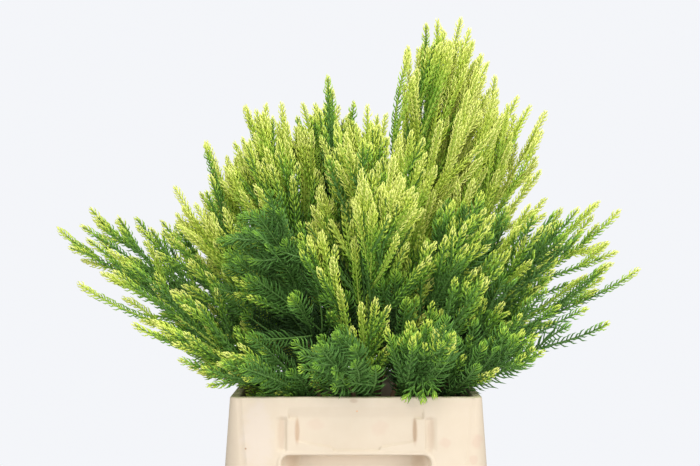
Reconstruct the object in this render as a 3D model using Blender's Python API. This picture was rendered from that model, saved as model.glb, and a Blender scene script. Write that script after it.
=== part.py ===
"""Cut cryptomeria branches standing in a moulded flower tub. Units are metres and +Z is up.

The origin is the middle of the tub's flat underside, on the surface that it stands on. The tub's narrow face
looks along -Y. Each cut branch is a bare stem, which stands on the tub's floor, and a mass of foliage, which
starts just inside the rim: one leader with side sprays, each spray a toothed blade of needles.
"""

import math
import random
from dataclasses import dataclass

import bmesh
import bpy
import numpy as np
from mathutils import Matrix, Vector

# Tub, outside sizes
TUB_HEIGHT = 0.300
RIM_WIDTH = 0.253
RIM_DEPTH = 0.353
FOOT_WIDTH = 0.300
FOOT_DEPTH = 0.400
RIM_CORNER = 0.0095
FOOT_CORNER = 0.062
CORNER_STEPS = 5
WALL = 0.004
RIM_WALL = 0.009
RIM_BAND = 0.010
EDGE_ROUND = 0.0015
FLOOR = 0.005
CLEAR = 0.0003

# Hand pocket and card panel, on the two narrow faces, measured down from the rim
POCKET_WIDTH = 0.150
POCKET_HEIGHT = 0.048
POCKET_DEPTH = 0.026
POCKET_TOP = 0.0575
POCKET_CORNER = 0.008
PANEL_HALF_WIDTH = 0.0575
PANEL_TOP = 0.021
PANEL_SHOULDER = 0.045
PANEL_LOW = 0.0535
PANEL_DEPTH = 0.0025
PANEL_DRAFT = 0.0015
PANEL_STEP = 0.004
STEP_HALF_WIDTH = 0.0255
GROOVE_INSIDE = 0.069
GROOVE_OUTSIDE = 0.0775
GROOVE_TOP = 0.016
CUT_OVER = 0.010

# Stems and leaders
STEM_SIDES = 5
STEM_STEPS = 4
FOOT_RADIUS = 0.0046
NECK_RADIUS = 0.0033
NECK_BELOW_RIM = 0.020
FOOT_SPREAD = 0.62
RING_RIM = {"outer": (0.091, 0.137), "middle": (0.058, 0.088), "inner": (0.024, 0.042)}
RING_START = {"outer": 8, "middle": -10, "inner": 0}
STEM_PULL = 0.10
LEADER_RISE = 0.55
NECK_PULL = 0.34
TIP_PULL = 0.30
TIP_RISE = 0.12
LEADER_TOOTH = 0.046
LEADER_HALF = 0.0125

# Side sprays
SPRAYS = 13
GOLDEN_ANGLE = math.radians(137.5)
FIRST_SPRAY = 0.05
SPRAY_SPAN = 0.87
SPRAY_CROWDING = 0.92
ORDER_JITTER = 0.6
LEAN_JITTER = 0.12
TURN_JITTER = 0.25
LENGTH_RANGE = (0.62, 0.98)
SPRAY_MIN = 0.036
SPRAY_REACH = 0.94
SHORTEN = 0.86
BEND_AT = 0.45
KEEP_LEAN = 0.55
SPRAY_RISE = 0.22
WIDE_ANGLE = math.radians(47)
NARROW_ANGLE = math.radians(25)
SPRAY_TOOTH = 0.048
SPRAY_HALF = 0.0150
SPRAY_SLENDER = 0.22
ROOT_HALF = 0.0022
WAIST = 0.42
TOOTH_TIP = 0.95
TOOTH_BACK = 0.10
LAST_GAP = 0.45
TOOTH_WIDE = 1.12
TOOTH_TAPER = 0.6
RING_CORNERS = ((-1.0, -0.3), (1.0, -0.3), (0.0, 0.7))
PLUME_REACH = 0.98
PLUME_SWEEP = 1.6
PLUME_LEAST = 0.45
CROWN_SLOPE = 0.75
CROWN_START = 0.030
CELL_GAP = 0.0016
RIM_GAP = 0.0030
SAMPLE_STEP = 0.007
WELD = 0.00003
LINE_POINTS = 60
SEED = 41

DARK_GREEN = (0.060, 0.135, 0.030)
LIME = (0.430, 0.520, 0.080)
BARK = (0.180, 0.095, 0.045)
TUB_CREAM = (0.860, 0.720, 0.540)
GOLD_SHARE = 0.6
PLASTIC_ROUGHNESS = 0.42
BARK_ROUGHNESS = 0.85
NEEDLE_ROUGHNESS = 0.55


@dataclass(frozen=True)
class Branch:
    """One cut branch: the side its tip leans to, its sideways reach and height over the rim, and its tint."""

    ring: str
    azimuth: float
    reach: float
    height: float
    gold: float


BRANCHES = (
    Branch("outer", 5, 0.317, 0.124, 0.30),
    Branch("outer", 22, 0.335, 0.192, 0.40),
    Branch("outer", 51, 0.290, 0.110, 0.30),
    Branch("outer", 82, 0.280, 0.120, 0.40),
    Branch("outer", 113, 0.290, 0.090, 0.30),
    Branch("outer", 139, 0.290, 0.140, 0.45),
    Branch("outer", 158, 0.335, 0.194, 0.50),
    Branch("outer", 174, 0.335, 0.170, 0.50),
    Branch("outer", 190, 0.300, 0.110, 0.45),
    Branch("outer", 210, 0.262, 0.070, 0.40),
    Branch("outer", 232, 0.245, 0.030, 0.30),
    Branch("outer", 262, 0.245, 0.055, 0.10),
    Branch("outer", 292, 0.250, 0.065, 0.20),
    Branch("outer", 316, 0.258, 0.045, 0.25),
    Branch("outer", 338, 0.282, 0.070, 0.30),
    Branch("middle", 350, 0.243, 0.190, 0.45),
    Branch("middle", 14, 0.222, 0.302, 0.80),
    Branch("middle", 60, 0.205, 0.265, 0.70),
    Branch("middle", 103, 0.190, 0.240, 0.50),
    Branch("middle", 160, 0.180, 0.268, 0.75),
    Branch("middle", 186, 0.197, 0.214, 0.80),
    Branch("middle", 238, 0.165, 0.205, 0.45),
    Branch("middle", 286, 0.142, 0.240, 0.95),
    Branch("middle", 318, 0.175, 0.205, 0.50),
    Branch("inner", 12, 0.120, 0.404, 0.85),
    Branch("inner", 30, 0.172, 0.345, 0.80),
    Branch("inner", 120, 0.060, 0.330, 0.15),
    Branch("inner", 175, 0.122, 0.305, 0.75),
    Branch("inner", 285, 0.050, 0.300, 0.80),
)


def clear_scene():
    """Removes the objects of the opening scene."""
    for obj in list(bpy.data.objects):
        bpy.data.objects.remove(obj)


def make_collection(name, hidden=False):
    """A collection in the scene; the cutters' own one is hidden."""
    group = bpy.data.collections.new(name)
    bpy.context.scene.collection.children.link(group)
    group.hide_render = hidden
    return group


def make_material(name, colour, roughness):
    """A plain material of one linear colour."""
    material = bpy.data.materials.new(name)
    material.use_nodes = True
    shader = material.node_tree.nodes["Principled BSDF"]
    shader.inputs["Base Color"].default_value = (*colour, 1.0)
    shader.inputs["Roughness"].default_value = roughness
    shader.inputs["Metallic"].default_value = 0.0
    return material


def mesh_object(name, points, faces, group, material=None):
    """An object in a collection, from points and faces."""
    mesh = bpy.data.meshes.new(name)
    mesh.from_pydata([tuple(p) for p in points], [], faces)
    mesh.update()
    obj = bpy.data.objects.new(name, mesh)
    group.objects.link(obj)
    if material:
        mesh.materials.append(material)
    return obj


def loft(name, rings, group, material=None):
    """A closed solid through rings that all have the same number of points, counted anticlockwise from above."""
    count = len(rings[0])
    points = [p for ring in rings for p in ring]
    faces = [tuple(reversed(range(count)))]
    for level in range(len(rings) - 1):
        low, high = level * count, (level + 1) * count
        for i in range(count):
            j = (i + 1) % count
            faces.append((low + i, low + j, high + j, high + i))
    faces.append(tuple(range(len(points) - count, len(points))))
    return mesh_object(name, points, faces, group, material)


def cut(obj, cutter):
    """Takes a cutter out of an object."""
    boolean = obj.modifiers.new(cutter.name, "BOOLEAN")
    boolean.operation = "DIFFERENCE"
    boolean.object = cutter
    boolean.solver = "EXACT"
    cutter.display_type = "WIRE"
    cutter.hide_render = True


def apply_modifiers(obj):
    """Makes an object's mesh what its modifiers give."""
    graph = bpy.context.evaluated_depsgraph_get()
    mesh = bpy.data.meshes.new_from_object(obj.evaluated_get(graph), depsgraph=graph)
    obj.modifiers.clear()
    obj.data = mesh


# Tub


def rounded_rectangle(width, depth, corner, height):
    """A ring of points at one height, anticlockwise from above, with CORNER_STEPS steps round each corner."""
    ring = []
    for quarter, (sx, sy) in enumerate(((1, 1), (-1, 1), (-1, -1), (1, -1))):
        centre = (sx * (width / 2 - corner), sy * (depth / 2 - corner))
        for step in range(CORNER_STEPS + 1):
            angle = math.pi / 2 * (quarter + step / CORNER_STEPS)
            ring.append((centre[0] + corner * math.cos(angle), centre[1] + corner * math.sin(angle), height))
    return ring


def tub_ring(height, inset):
    """The tub's outline at a height, moved inwards by inset; above the rim it goes straight on."""
    share = height / TUB_HEIGHT
    width = FOOT_WIDTH + (RIM_WIDTH - FOOT_WIDTH) * share
    depth = FOOT_DEPTH + (RIM_DEPTH - FOOT_DEPTH) * share
    corner = FOOT_CORNER + (RIM_CORNER - FOOT_CORNER) * share
    return rounded_rectangle(width - 2 * inset, depth - 2 * inset, max(corner - inset, 0.003), height)


def face_frame(side):
    """A frame on a narrow face: x across it, y out of it, z up it, with its origin at the rim."""
    flare = math.atan((FOOT_DEPTH - RIM_DEPTH) / 2 / TUB_HEIGHT)
    turned = Matrix.Rotation(math.pi if side < 0 else 0.0, 4, "Z")
    moved = Matrix.Translation((0, RIM_DEPTH / 2, TUB_HEIGHT))
    return turned @ moved @ Matrix.Rotation(flare, 4, "X")


def face_prism(name, outline, depth, side, group):
    """A prism over an outline of (across, down) points, from outside a narrow face to a depth inside it."""
    back = [(x, -depth, -down) for x, down in outline]
    front = [(x, CUT_OVER, -down) for x, down in outline]
    prism = loft(name, [back, front], group)
    prism.matrix_world = face_frame(side)
    bm = bmesh.new()
    bm.from_mesh(prism.data)
    bmesh.ops.recalc_face_normals(bm, faces=bm.faces)
    bm.to_mesh(prism.data)
    bm.free()
    return prism


def pocket_outline(margin):
    """The hand pocket's outline, a rounded rectangle, as (across, down) points."""
    ring = rounded_rectangle(
        POCKET_WIDTH + 2 * margin, POCKET_HEIGHT + 2 * margin, POCKET_CORNER + margin, 0
    )
    middle = POCKET_TOP + POCKET_HEIGHT / 2
    return [(x, middle + y) for x, y, _ in ring]


def panel_outline():
    """The card panel's outline: straight top and sides, and a floor that steps down at its middle."""
    right = [
        (PANEL_HALF_WIDTH, PANEL_TOP),
        (PANEL_HALF_WIDTH - PANEL_DRAFT, PANEL_SHOULDER),
        (STEP_HALF_WIDTH, PANEL_LOW - PANEL_STEP),
        (STEP_HALF_WIDTH - PANEL_DRAFT, PANEL_LOW),
    ]
    return right + [(-x, down) for x, down in reversed(right)]


def groove_outline(side):
    """The outline of the groove beside the card panel."""
    return [
        (side * GROOVE_INSIDE, GROOVE_TOP),
        (side * GROOVE_OUTSIDE, GROOVE_TOP),
        (side * GROOVE_OUTSIDE, PANEL_LOW),
        (side * GROOVE_INSIDE, PANEL_LOW),
    ]


def build_tub(parts, cutters, material):
    """The tub: a flared box with a thick rim, a deep inside, and a hand pocket and a card panel at each end."""
    outer = [
        tub_ring(0, EDGE_ROUND),
        tub_ring(EDGE_ROUND, 0),
        tub_ring(TUB_HEIGHT - EDGE_ROUND, 0),
        tub_ring(TUB_HEIGHT, EDGE_ROUND),
    ]
    inner = [
        tub_ring(FLOOR, WALL + EDGE_ROUND),
        tub_ring(FLOOR + EDGE_ROUND, WALL),
        tub_ring(TUB_HEIGHT - RIM_BAND - EDGE_ROUND, WALL),
        tub_ring(TUB_HEIGHT - RIM_BAND, RIM_WALL),
        tub_ring(TUB_HEIGHT + CUT_OVER, RIM_WALL),
    ]
    tub = loft("tub", outer, parts, material)
    inside = loft("tub_inside", inner, cutters)
    for side, place in ((1, "back"), (-1, "front")):
        cut(inside, face_prism(f"housing_{place}", pocket_outline(WALL), POCKET_DEPTH + WALL, side, cutters))
    apply_modifiers(inside)
    cut(tub, inside)
    for side, place in ((1, "back"), (-1, "front")):
        cut(tub, face_prism(f"pocket_{place}", pocket_outline(0), POCKET_DEPTH, side, cutters))
        cut(tub, face_prism(f"panel_{place}", panel_outline(), PANEL_DEPTH, side, cutters))
        for hand in (1, -1):
            name = f"groove_{place}_{'right' if hand > 0 else 'left'}"
            cut(tub, face_prism(name, groove_outline(hand), PANEL_DEPTH, side, cutters))
    return tub


# Branches


def bezier(ends, share):
    """The point of a cubic Bezier curve at a share of its run."""
    a, b, c, d = ends
    rest = 1 - share
    return a * rest**3 + b * (3 * rest**2 * share) + c * (3 * rest * share**2) + d * share**3


def bezier_slope(ends, share):
    """The unit direction of a cubic Bezier curve at a share of its run."""
    a, b, c, d = ends
    rest = 1 - share
    return ((b - a) * rest**2 + (c - b) * (2 * rest * share) + (d - c) * share**2).normalized()


def level_direction(azimuth):
    """The level unit vector at an azimuth in degrees, counted from +X towards +Y."""
    return Vector((math.cos(math.radians(azimuth)), math.sin(math.radians(azimuth)), 0))


def placed_branches():
    """(place, branch, neck azimuth) of each branch: the necks of a ring stand evenly spaced round it."""
    for ring, start in RING_START.items():
        members = [branch for branch in BRANCHES if branch.ring == ring]
        for order, branch in enumerate(members):
            yield f"{ring}_{order + 1:02d}", branch, start + 360 * order / len(members)


def branch_curves(branch, neck_azimuth):
    """(stem, leader) control points of a cut branch: up from the tub's floor to the neck, then out to its tip."""
    side = level_direction(branch.azimuth)
    neck_side = level_direction(neck_azimuth)
    half_width, half_depth = RING_RIM[branch.ring]
    neck = Vector((half_width * neck_side.x, half_depth * neck_side.y, TUB_HEIGHT - NECK_BELOW_RIM))
    foot = Vector((neck.x * FOOT_SPREAD, neck.y * FOOT_SPREAD, FLOOR + CLEAR))
    tip = side * branch.reach + Vector((0, 0, TUB_HEIGHT + branch.height))
    run = tip - neck
    up = Vector((0, 0, 1))
    at_neck = (run.normalized() * LEADER_RISE + up * LEADER_RISE).normalized()
    at_tip = (run.normalized() + up * TIP_RISE).normalized()
    stem = (foot, foot + up * STEM_PULL, neck - at_neck * STEM_PULL, neck)
    leader = (neck, neck + at_neck * run.length * NECK_PULL, tip - at_tip * run.length * TIP_PULL, tip)
    return stem, leader


def across(direction, hint):
    """Two unit vectors at right angles to a direction and to each other, the first nearest to hint."""
    first = (hint - direction * hint.dot(direction)).normalized()
    return first, direction.cross(first)


def tube(name, ends, radii, steps, sides, group, material=None):
    """A tapering tube along a Bezier curve, with flat ends: its foot is level where the curve starts upright."""
    rings = []
    hint = Vector((1, 0, 0))
    for step in range(steps + 1):
        share = step / steps
        centre, along = bezier(ends, share), bezier_slope(ends, share)
        hint, other = across(along, hint)
        radius = radii[0] + (radii[1] - radii[0]) * share
        rings.append([
            centre + (hint * math.cos(math.tau * k / sides) + other * math.sin(math.tau * k / sides)) * radius
            for k in range(sides)
        ])
    return loft(name, rings, group, material)


def tub_room(point):
    """How far a point lies from the tub's rim and from the walls below it."""
    above = max(point[2] - TUB_HEIGHT, 0)
    inside = min(RIM_WIDTH / 2 - RIM_WALL - abs(point[0]), RIM_DEPTH / 2 - RIM_WALL - abs(point[1]))
    return math.hypot(above, max(inside, 0))


def over_crown_floor(point):
    """Whether a point lies over the slope that the crown's underside rises by, outwards from the rim."""
    over = math.hypot(max(abs(point[0]) - RIM_WIDTH / 2, 0), max(abs(point[1]) - RIM_DEPTH / 2, 0))
    return point[2] - TUB_HEIGHT > CROWN_SLOPE * (over - CROWN_START)


def in_plume(leader, tip):
    """Whether a spray's tip keeps inside the plume of its branch, which narrows towards the leader's tip."""
    run, reach = leader[3] - leader[0], tip - leader[0]
    share = PLUME_REACH - PLUME_SWEEP * run.angle(reach) ** 2
    return reach.length < run.length * max(share, PLUME_LEAST)


class Cells:
    """Shares the crown out among the leaders: a point belongs to the leader that it is nearest to."""

    def __init__(self, leaders):
        shares = np.linspace(0, 1, LINE_POINTS)
        self.lines = [np.array([bezier(ends, s) for s in shares]) for ends in leaders]

    def room(self, index, point):
        """How wide a leader's own shoot can be at a point on it, clear of the next leader and of the tub."""
        others = np.concatenate([line for other, line in enumerate(self.lines) if other != index])
        nearest = np.linalg.norm(others - np.array(point), axis=1).min()
        return min(nearest / 2 - CELL_GAP, tub_room(point) - RIM_GAP)

    def holds(self, index, points):
        """Whether all the points lie in a leader's own cell, clear of its border and of the tub."""
        points = np.array(points)
        near = np.array([
            np.linalg.norm(points[:, None] - line[None], axis=2).min(axis=1) for line in self.lines
        ])
        own = near[index].copy()
        near[index] = np.inf
        if (near.min(axis=0) - own < 2 * CELL_GAP).any():
            return False
        return all(tub_room(point) > RIM_GAP and over_crown_floor(point) for point in points)


def side_spray(leader, share, turn, lean, length):
    """A spray's curve and flat side: it leaves a leader at a share of its run, and sweeps up towards its tip."""
    root, along = bezier(leader, share), bezier_slope(leader, share)
    first, second = across(along, Vector((0, 0, 1)))
    out = first * math.cos(turn) + second * math.sin(turn)
    start = (along * math.cos(lean) + out * math.sin(lean)).normalized()
    end = (start * KEEP_LEAN + along * (1 - KEEP_LEAN) + Vector((0, 0, SPRAY_RISE))).normalized()
    middle = root + start * length * BEND_AT
    tip = middle + end * length * (1 - BEND_AT)
    return (root, root.lerp(middle, 2 / 3), tip.lerp(middle, 2 / 3), tip), along.cross(out).normalized()


def branch_sprays(leader, chance):
    """The side sprays of one leader, by the rule: turned by the golden angle, long and wide at the foot."""
    run = (leader[3] - leader[0]).length
    first_turn = chance.uniform(0, math.tau)
    for order in range(SPRAYS):
        place = (order + chance.uniform(0, ORDER_JITTER)) / SPRAYS
        share = FIRST_SPRAY + SPRAY_SPAN * place**SPRAY_CROWDING
        lean = WIDE_ANGLE + (NARROW_ANGLE - WIDE_ANGLE) * share + chance.uniform(-LEAN_JITTER, LEAN_JITTER)
        length = run * (SPRAY_REACH - share) * chance.uniform(*LENGTH_RANGE)
        turn = first_turn + order * GOLDEN_ANGLE + chance.uniform(-TURN_JITTER, TURN_JITTER)
        yield share, turn, lean, length


def teeth(length, spacing, widest):
    """(share of the run, half width) pairs of a shoot: it swells to each tooth's tip and steps back in."""
    count = max(2, round(length / spacing))
    for tooth in range(count):
        reach = (tooth + TOOTH_TIP) / (count + LAST_GAP)
        half = widest * (TOOTH_WIDE - TOOTH_TAPER * reach)
        yield reach, half
        yield reach + TOOTH_BACK / count, half * WAIST


def shoot_rings(ends, hint, stations):
    """The three-cornered rings of a shoot with its needles, strung along its curve."""
    rings = []
    for share, half in stations:
        centre, along = bezier(ends, share), bezier_slope(ends, share)
        side, over = across(along, hint)
        rings.append([centre + (side * x + over * y) * half for x, y in RING_CORNERS])
    return rings


def toothed_shoot(name, rings, tip, group, material=None):
    """A shoot as a closed solid: its rings are flared at each tooth, and it ends in a point."""
    points = [corner for ring in rings for corner in ring] + [tip]
    faces = [(0, 2, 1)]
    for low in range(0, 3 * len(rings) - 3, 3):
        for i, j in ((0, 1), (1, 2), (2, 0)):
            faces.append((low + i, low + j, low + j + 3, low + i + 3))
    last, end = len(points) - 4, len(points) - 1
    faces += [(last + i, last + j, end) for i, j in ((0, 1), (1, 2), (2, 0))]
    return mesh_object(name, points, faces, group, material)


def surface_points(rings, tip):
    """Points down the corners of a shoot beyond its root, to test it against its cell."""
    for low, high in zip(rings, [*rings[1:], [tip] * 3]):
        for start, end in zip(low, high):
            steps = math.ceil((end - start).length / SAMPLE_STEP)
            for step in range(1, steps + 1):
                yield start.lerp(end, step / steps)


def on_axis(ends, stations, share):
    """The point of a shoot's straight-sided middle line, which its rings are strung on, at a share of its run."""
    shares = [0.0, *(station for station, _ in stations[1:]), 1.0]
    after = next(i for i, mark in enumerate(shares) if mark >= share)
    low, high = shares[after - 1], shares[after]
    return bezier(ends, low).lerp(bezier(ends, high), (share - low) / (high - low))


def fitting_spray(cells, index, leader, root, rule):
    """(rings, tip) of the longest spray of a rule's direction that keeps to its cell, or None where none does."""
    share, turn, lean, length = rule
    while length >= SPRAY_MIN:
        ends, hint = side_spray(leader, share, turn, lean, length)
        widest = min(SPRAY_HALF, length * SPRAY_SLENDER)
        stations = [(0.0, ROOT_HALF), *teeth(length, SPRAY_TOOTH, widest)]
        rings = shoot_rings((root, *ends[1:]), hint, stations)
        if in_plume(leader, ends[3]) and cells.holds(index, list(surface_points(rings, ends[3]))):
            return rings, ends[3]
        length *= SHORTEN
    return None


def connected_faces(start, unseen):
    """The faces that hang together with a first one, taken out of the set of unseen faces."""
    unseen.remove(start)
    found, front = [start], [start]
    while front:
        for edge in front.pop().edges:
            for face in edge.link_faces:
                if face in unseen:
                    unseen.remove(face)
                    found.append(face)
                    front.append(face)
    return found


def keep_outer_shell(mesh):
    """Fills each hollow that a union sealed and drops loose scraps, by keeping only the largest shell."""
    bm = bmesh.new()
    bm.from_mesh(mesh)
    bmesh.ops.remove_doubles(bm, verts=bm.verts, dist=WELD)
    bmesh.ops.triangulate(bm, faces=bm.faces)
    unseen = set(bm.faces)
    shells = []
    for face in bm.faces:
        if face in unseen:
            shells.append(connected_faces(face, unseen))
    shells.sort(key=len)
    bmesh.ops.delete(bm, geom=[face for shell in shells[:-1] for face in shell], context="FACES")
    bm.to_mesh(mesh)
    bm.free()


def build_foliage(name, index, leader, cells, chance, parts, material):
    """One mass of foliage: its leader and its side sprays, made one solid by a union."""
    start = leader[0] + bezier_slope(leader, 0) * CLEAR
    ends = (start, *leader[1:])
    run = (leader[3] - leader[0]).length
    stations = [(0.0, NECK_RADIUS)]
    for share, half in teeth(run, LEADER_TOOTH, LEADER_HALF):
        stations.append((share, min(half, cells.room(index, bezier(ends, share)))))
    hint = leader[3].cross(Vector((0, 0, 1))).normalized()
    mass = toothed_shoot(name, shoot_rings(ends, hint, stations), leader[3], parts, material)
    pieces = make_collection(f"{name}_sprays")
    for order, rule in enumerate(branch_sprays(leader, chance)):
        fitted = fitting_spray(cells, index, leader, on_axis(ends, stations, rule[0]), rule)
        if fitted:
            toothed_shoot(f"{name}_spray_{order}", *fitted, pieces)
    union = mass.modifiers.new("sprays", "BOOLEAN")
    union.operation = "UNION"
    union.operand_type = "COLLECTION"
    union.collection = pieces
    union.solver = "MANIFOLD"
    apply_modifiers(mass)
    keep_outer_shell(mass.data)
    for obj in list(pieces.objects):
        bpy.data.objects.remove(obj)
    bpy.data.collections.remove(pieces)
    return mass


def build():
    """Builds the tub, the stems and the masses of foliage."""
    clear_scene()
    parts = make_collection("cryptomeria_in_tub")
    cutters = make_collection("cutters", hidden=True)
    build_tub(parts, cutters, make_material("tub_plastic", TUB_CREAM, PLASTIC_ROUGHNESS))
    bark = make_material("bark", BARK, BARK_ROUGHNESS)
    placed = list(placed_branches())
    curves = [branch_curves(branch, neck_azimuth) for _, branch, neck_azimuth in placed]
    cells = Cells([leader for _, leader in curves])
    for index, ((place, branch, _), (stem, leader)) in enumerate(zip(placed, curves)):
        tube(f"stem_{place}", stem, (FOOT_RADIUS, NECK_RADIUS), STEM_STEPS, STEM_SIDES, parts, bark)
        tint = tuple(dark + (lime - dark) * branch.gold * GOLD_SHARE for dark, lime in zip(DARK_GREEN, LIME))
        needles = make_material(f"needles_{place}", tint, NEEDLE_ROUGHNESS)
        build_foliage(f"foliage_{place}", index, leader, cells, random.Random(SEED + index), parts, needles)


build()
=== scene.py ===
"""Cut cryptomeria branches in a cream moulded flower tub, dressed over the part's frame.

Units are metres and +Z is up. The tub's narrow face with its hand pocket looks along -Y, to the camera.
The branches grow by the same rule as the part's source, carried on to finer shoots and to single needles.
"""

import logging
import math
import random
from collections.abc import Iterable, Iterator
from dataclasses import dataclass, field, replace
from enum import Enum

import bpy
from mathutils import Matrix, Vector


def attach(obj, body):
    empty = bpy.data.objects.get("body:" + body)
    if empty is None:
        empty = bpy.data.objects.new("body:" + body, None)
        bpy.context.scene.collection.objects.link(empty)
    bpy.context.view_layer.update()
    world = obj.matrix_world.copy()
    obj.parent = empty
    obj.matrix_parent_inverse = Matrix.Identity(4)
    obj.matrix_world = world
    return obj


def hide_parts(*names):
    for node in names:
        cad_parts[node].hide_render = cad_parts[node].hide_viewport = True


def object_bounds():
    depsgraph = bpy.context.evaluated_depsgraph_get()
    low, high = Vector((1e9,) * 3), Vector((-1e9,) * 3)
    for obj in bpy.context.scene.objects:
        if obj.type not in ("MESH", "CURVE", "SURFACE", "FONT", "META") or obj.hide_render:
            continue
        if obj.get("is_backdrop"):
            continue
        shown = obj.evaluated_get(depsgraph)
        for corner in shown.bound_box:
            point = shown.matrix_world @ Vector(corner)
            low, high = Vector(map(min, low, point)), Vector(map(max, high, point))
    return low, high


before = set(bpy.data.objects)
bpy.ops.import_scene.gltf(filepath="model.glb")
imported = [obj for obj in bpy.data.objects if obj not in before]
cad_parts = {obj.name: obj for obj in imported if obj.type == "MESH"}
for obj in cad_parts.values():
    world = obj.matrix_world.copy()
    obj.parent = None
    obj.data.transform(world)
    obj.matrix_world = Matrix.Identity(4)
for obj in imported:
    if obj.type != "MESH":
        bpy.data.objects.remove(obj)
CAD_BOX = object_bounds()

log = logging.getLogger("cryptomeria_tub")

UP = Vector((0.0, 0.0, 1.0))
GOLDEN_ANGLE = math.radians(137.5)
STRAND_VALUES = ("along", "flat", "turn", "spread", "lean", "needle_length", "needle_width", "thickness")

Colour = tuple[float, float, float]
Place = tuple[float, float, float]
Span = tuple[float, float]
Curve = tuple[Vector, Vector, Vector, Vector]
Socket = bpy.types.NodeSocket


class Tint(Enum):
    """How young a needle is, from the dull green of the inside to the pale ends of the light shoots; the
    darkest is painted shade.
    """

    # The darkest tint is painted shade: old needles deep inside the crown, made darker than their age alone
    # would make them.
    SHADE = "shaded"
    DEEP = "deep"
    MID = "mid"
    FRESH = "fresh"
    LIME = "lime"
    YELLOW = "yellow"
    CREAM = "cream"


class Twig(Enum):
    """The skin of a shoot's stalk."""

    GREEN = "green"
    PALE = "pale"


class Detail(Enum):
    """What a ring of the tub's skin follows: nothing, the narrow faces' details, or their pockets' backs."""

    PLAIN = "plain"
    OUTER = "outer"
    INNER = "inner"


class Ring(Enum):
    """Where in the bunch a branch stands."""

    OUTER = "outer"
    MIDDLE = "middle"
    INNER = "inner"


def ramp(value: float, low: float, high: float) -> float:
    """A smooth step.

    Args:
        value: Where to read it.
        low: Where it is 0.
        high: Where it is 1, above or below low.

    Returns:
        A number from 0 to 1.
    """
    share = min(max((value - low) / (high - low), 0.0), 1.0)
    return share * share * (3 - 2 * share)


def past(value: float, line: float, edge: Span) -> float:
    """A smooth step across a line, from 0 at the edge's first place beside the line to 1 at its second."""
    return ramp(value, line + edge[0], line + edge[1])


def mix(low: float, high: float, share: float) -> float:
    """The number at a share of the way from low to high."""
    return low + (high - low) * share


def angle_between(span: Span, draws: random.Random) -> float:
    """An angle in radians, drawn from a span of degrees."""
    return math.radians(draws.uniform(*span))


class Bench:
    """Adds nodes to a node tree and links them."""

    def __init__(self, tree: bpy.types.NodeTree) -> None:
        """Starts with a tree, which may already hold nodes."""
        self.tree = tree

    def add(self, kind: str, inputs: dict | None = None, **settings: object) -> bpy.types.Node:
        """Adds a node.

        Args:
            kind: The node's type name.
            inputs: Its sockets by identifier or name, each with a value or with the socket that feeds it.
            settings: The node's own properties.

        Returns:
            The new node.
        """
        node = self.tree.nodes.new(kind)
        for name, value in settings.items():
            setattr(node, name, value)
        for key, value in (inputs or {}).items():
            self.feed(node, key, value)
        return node

    def first(self, kind: str, inputs: dict | None = None, **settings: object) -> Socket:
        """Adds a node as add does, and gives its first output."""
        return self.add(kind, inputs, **settings).outputs[0]

    def feed(self, node: bpy.types.Node, key: str, value: object) -> None:
        """Sets or links one input of a node.

        Args:
            node: The node.
            key: The input's identifier or name.
            value: A value, or the output socket that feeds it.
        """
        socket = next((s for s in node.inputs if s.identifier == key), None) or node.inputs[key]
        if isinstance(value, Socket):
            self.tree.links.new(value, socket)
        else:
            socket.default_value = value

    def math(self, operation: str, one: object, other: object, clamp: bool = False) -> Socket:
        """The output of a Math node of two numbers."""
        inputs = {"Value": one, "Value_001": other}
        return self.first("ShaderNodeMath", inputs, operation=operation, use_clamp=clamp)

    def vector(self, operation: str, one: object, other: object = (0.0, 0.0, 0.0)) -> Socket:
        """The output of a Vector Math node of two vectors."""
        node = self.add("ShaderNodeVectorMath", {"Vector": one, "Vector_001": other}, operation=operation)
        return node.outputs[1 if operation == "LENGTH" else 0]

    def blend(self, share: object, one: object, other: object) -> Socket:
        """The output of a colour mix."""
        inputs = {"Factor_Float": share, "A_Color": one, "B_Color": other}
        return self.add("ShaderNodeMix", inputs, data_type="RGBA").outputs[2]

    def remap(self, value: object, source: Span, target: Span = (0.0, 1.0)) -> Socket:
        """A smooth step from one span of numbers to another.

        Args:
            value: The number, or the socket that gives it.
            source: The span that it is read in.
            target: The span that it is taken to.

        Returns:
            The Map Range node's output.
        """
        inputs = {"Value": value, "From Min": source[0], "From Max": source[1]}
        inputs |= {"To Min": target[0], "To Max": target[1]}
        return self.first("ShaderNodeMapRange", inputs, interpolation_type="SMOOTHSTEP")

    def noise(self, place: object, scale: object, detail: float = 2.0) -> Socket:
        """The output of a noise, from 0 to 1."""
        return self.first("ShaderNodeTexNoise", {"Vector": place, "Scale": scale, "Detail": detail})

    def chance(self, low: object, high: object, index: Socket, seed: int) -> Socket:
        """The output of a Random Value node of numbers from low to high."""
        inputs = {"Min_001": low, "Max_001": high, "ID": index, "Seed": seed}
        return self.add("FunctionNodeRandomValue", inputs, data_type="FLOAT").outputs[1]

    def named(self, name: str, kind: str = "FLOAT") -> Socket:
        """The output of a point attribute in a Geometry Nodes tree."""
        return self.first("GeometryNodeInputNamedAttribute", {"Name": name}, data_type=kind)


def new_group(name: str, kind: str, takes: dict[str, str], gives: dict[str, str]) -> tuple:
    """A new node group with named sockets.

    Args:
        name: Its name.
        kind: Its tree type.
        takes: Its inputs, name to socket type.
        gives: Its outputs, name to socket type.

    Returns:
        The group, its bench, its input sockets by name, and its output node.
    """
    tree = bpy.data.node_groups.new(name, kind)
    for in_out, sockets in (("INPUT", takes), ("OUTPUT", gives)):
        for label, socket in sockets.items():
            tree.interface.new_socket(name=label, in_out=in_out, socket_type=f"NodeSocket{socket}")
    bench = Bench(tree)
    return tree, bench, bench.add("NodeGroupInput").outputs, bench.add("NodeGroupOutput")


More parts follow.
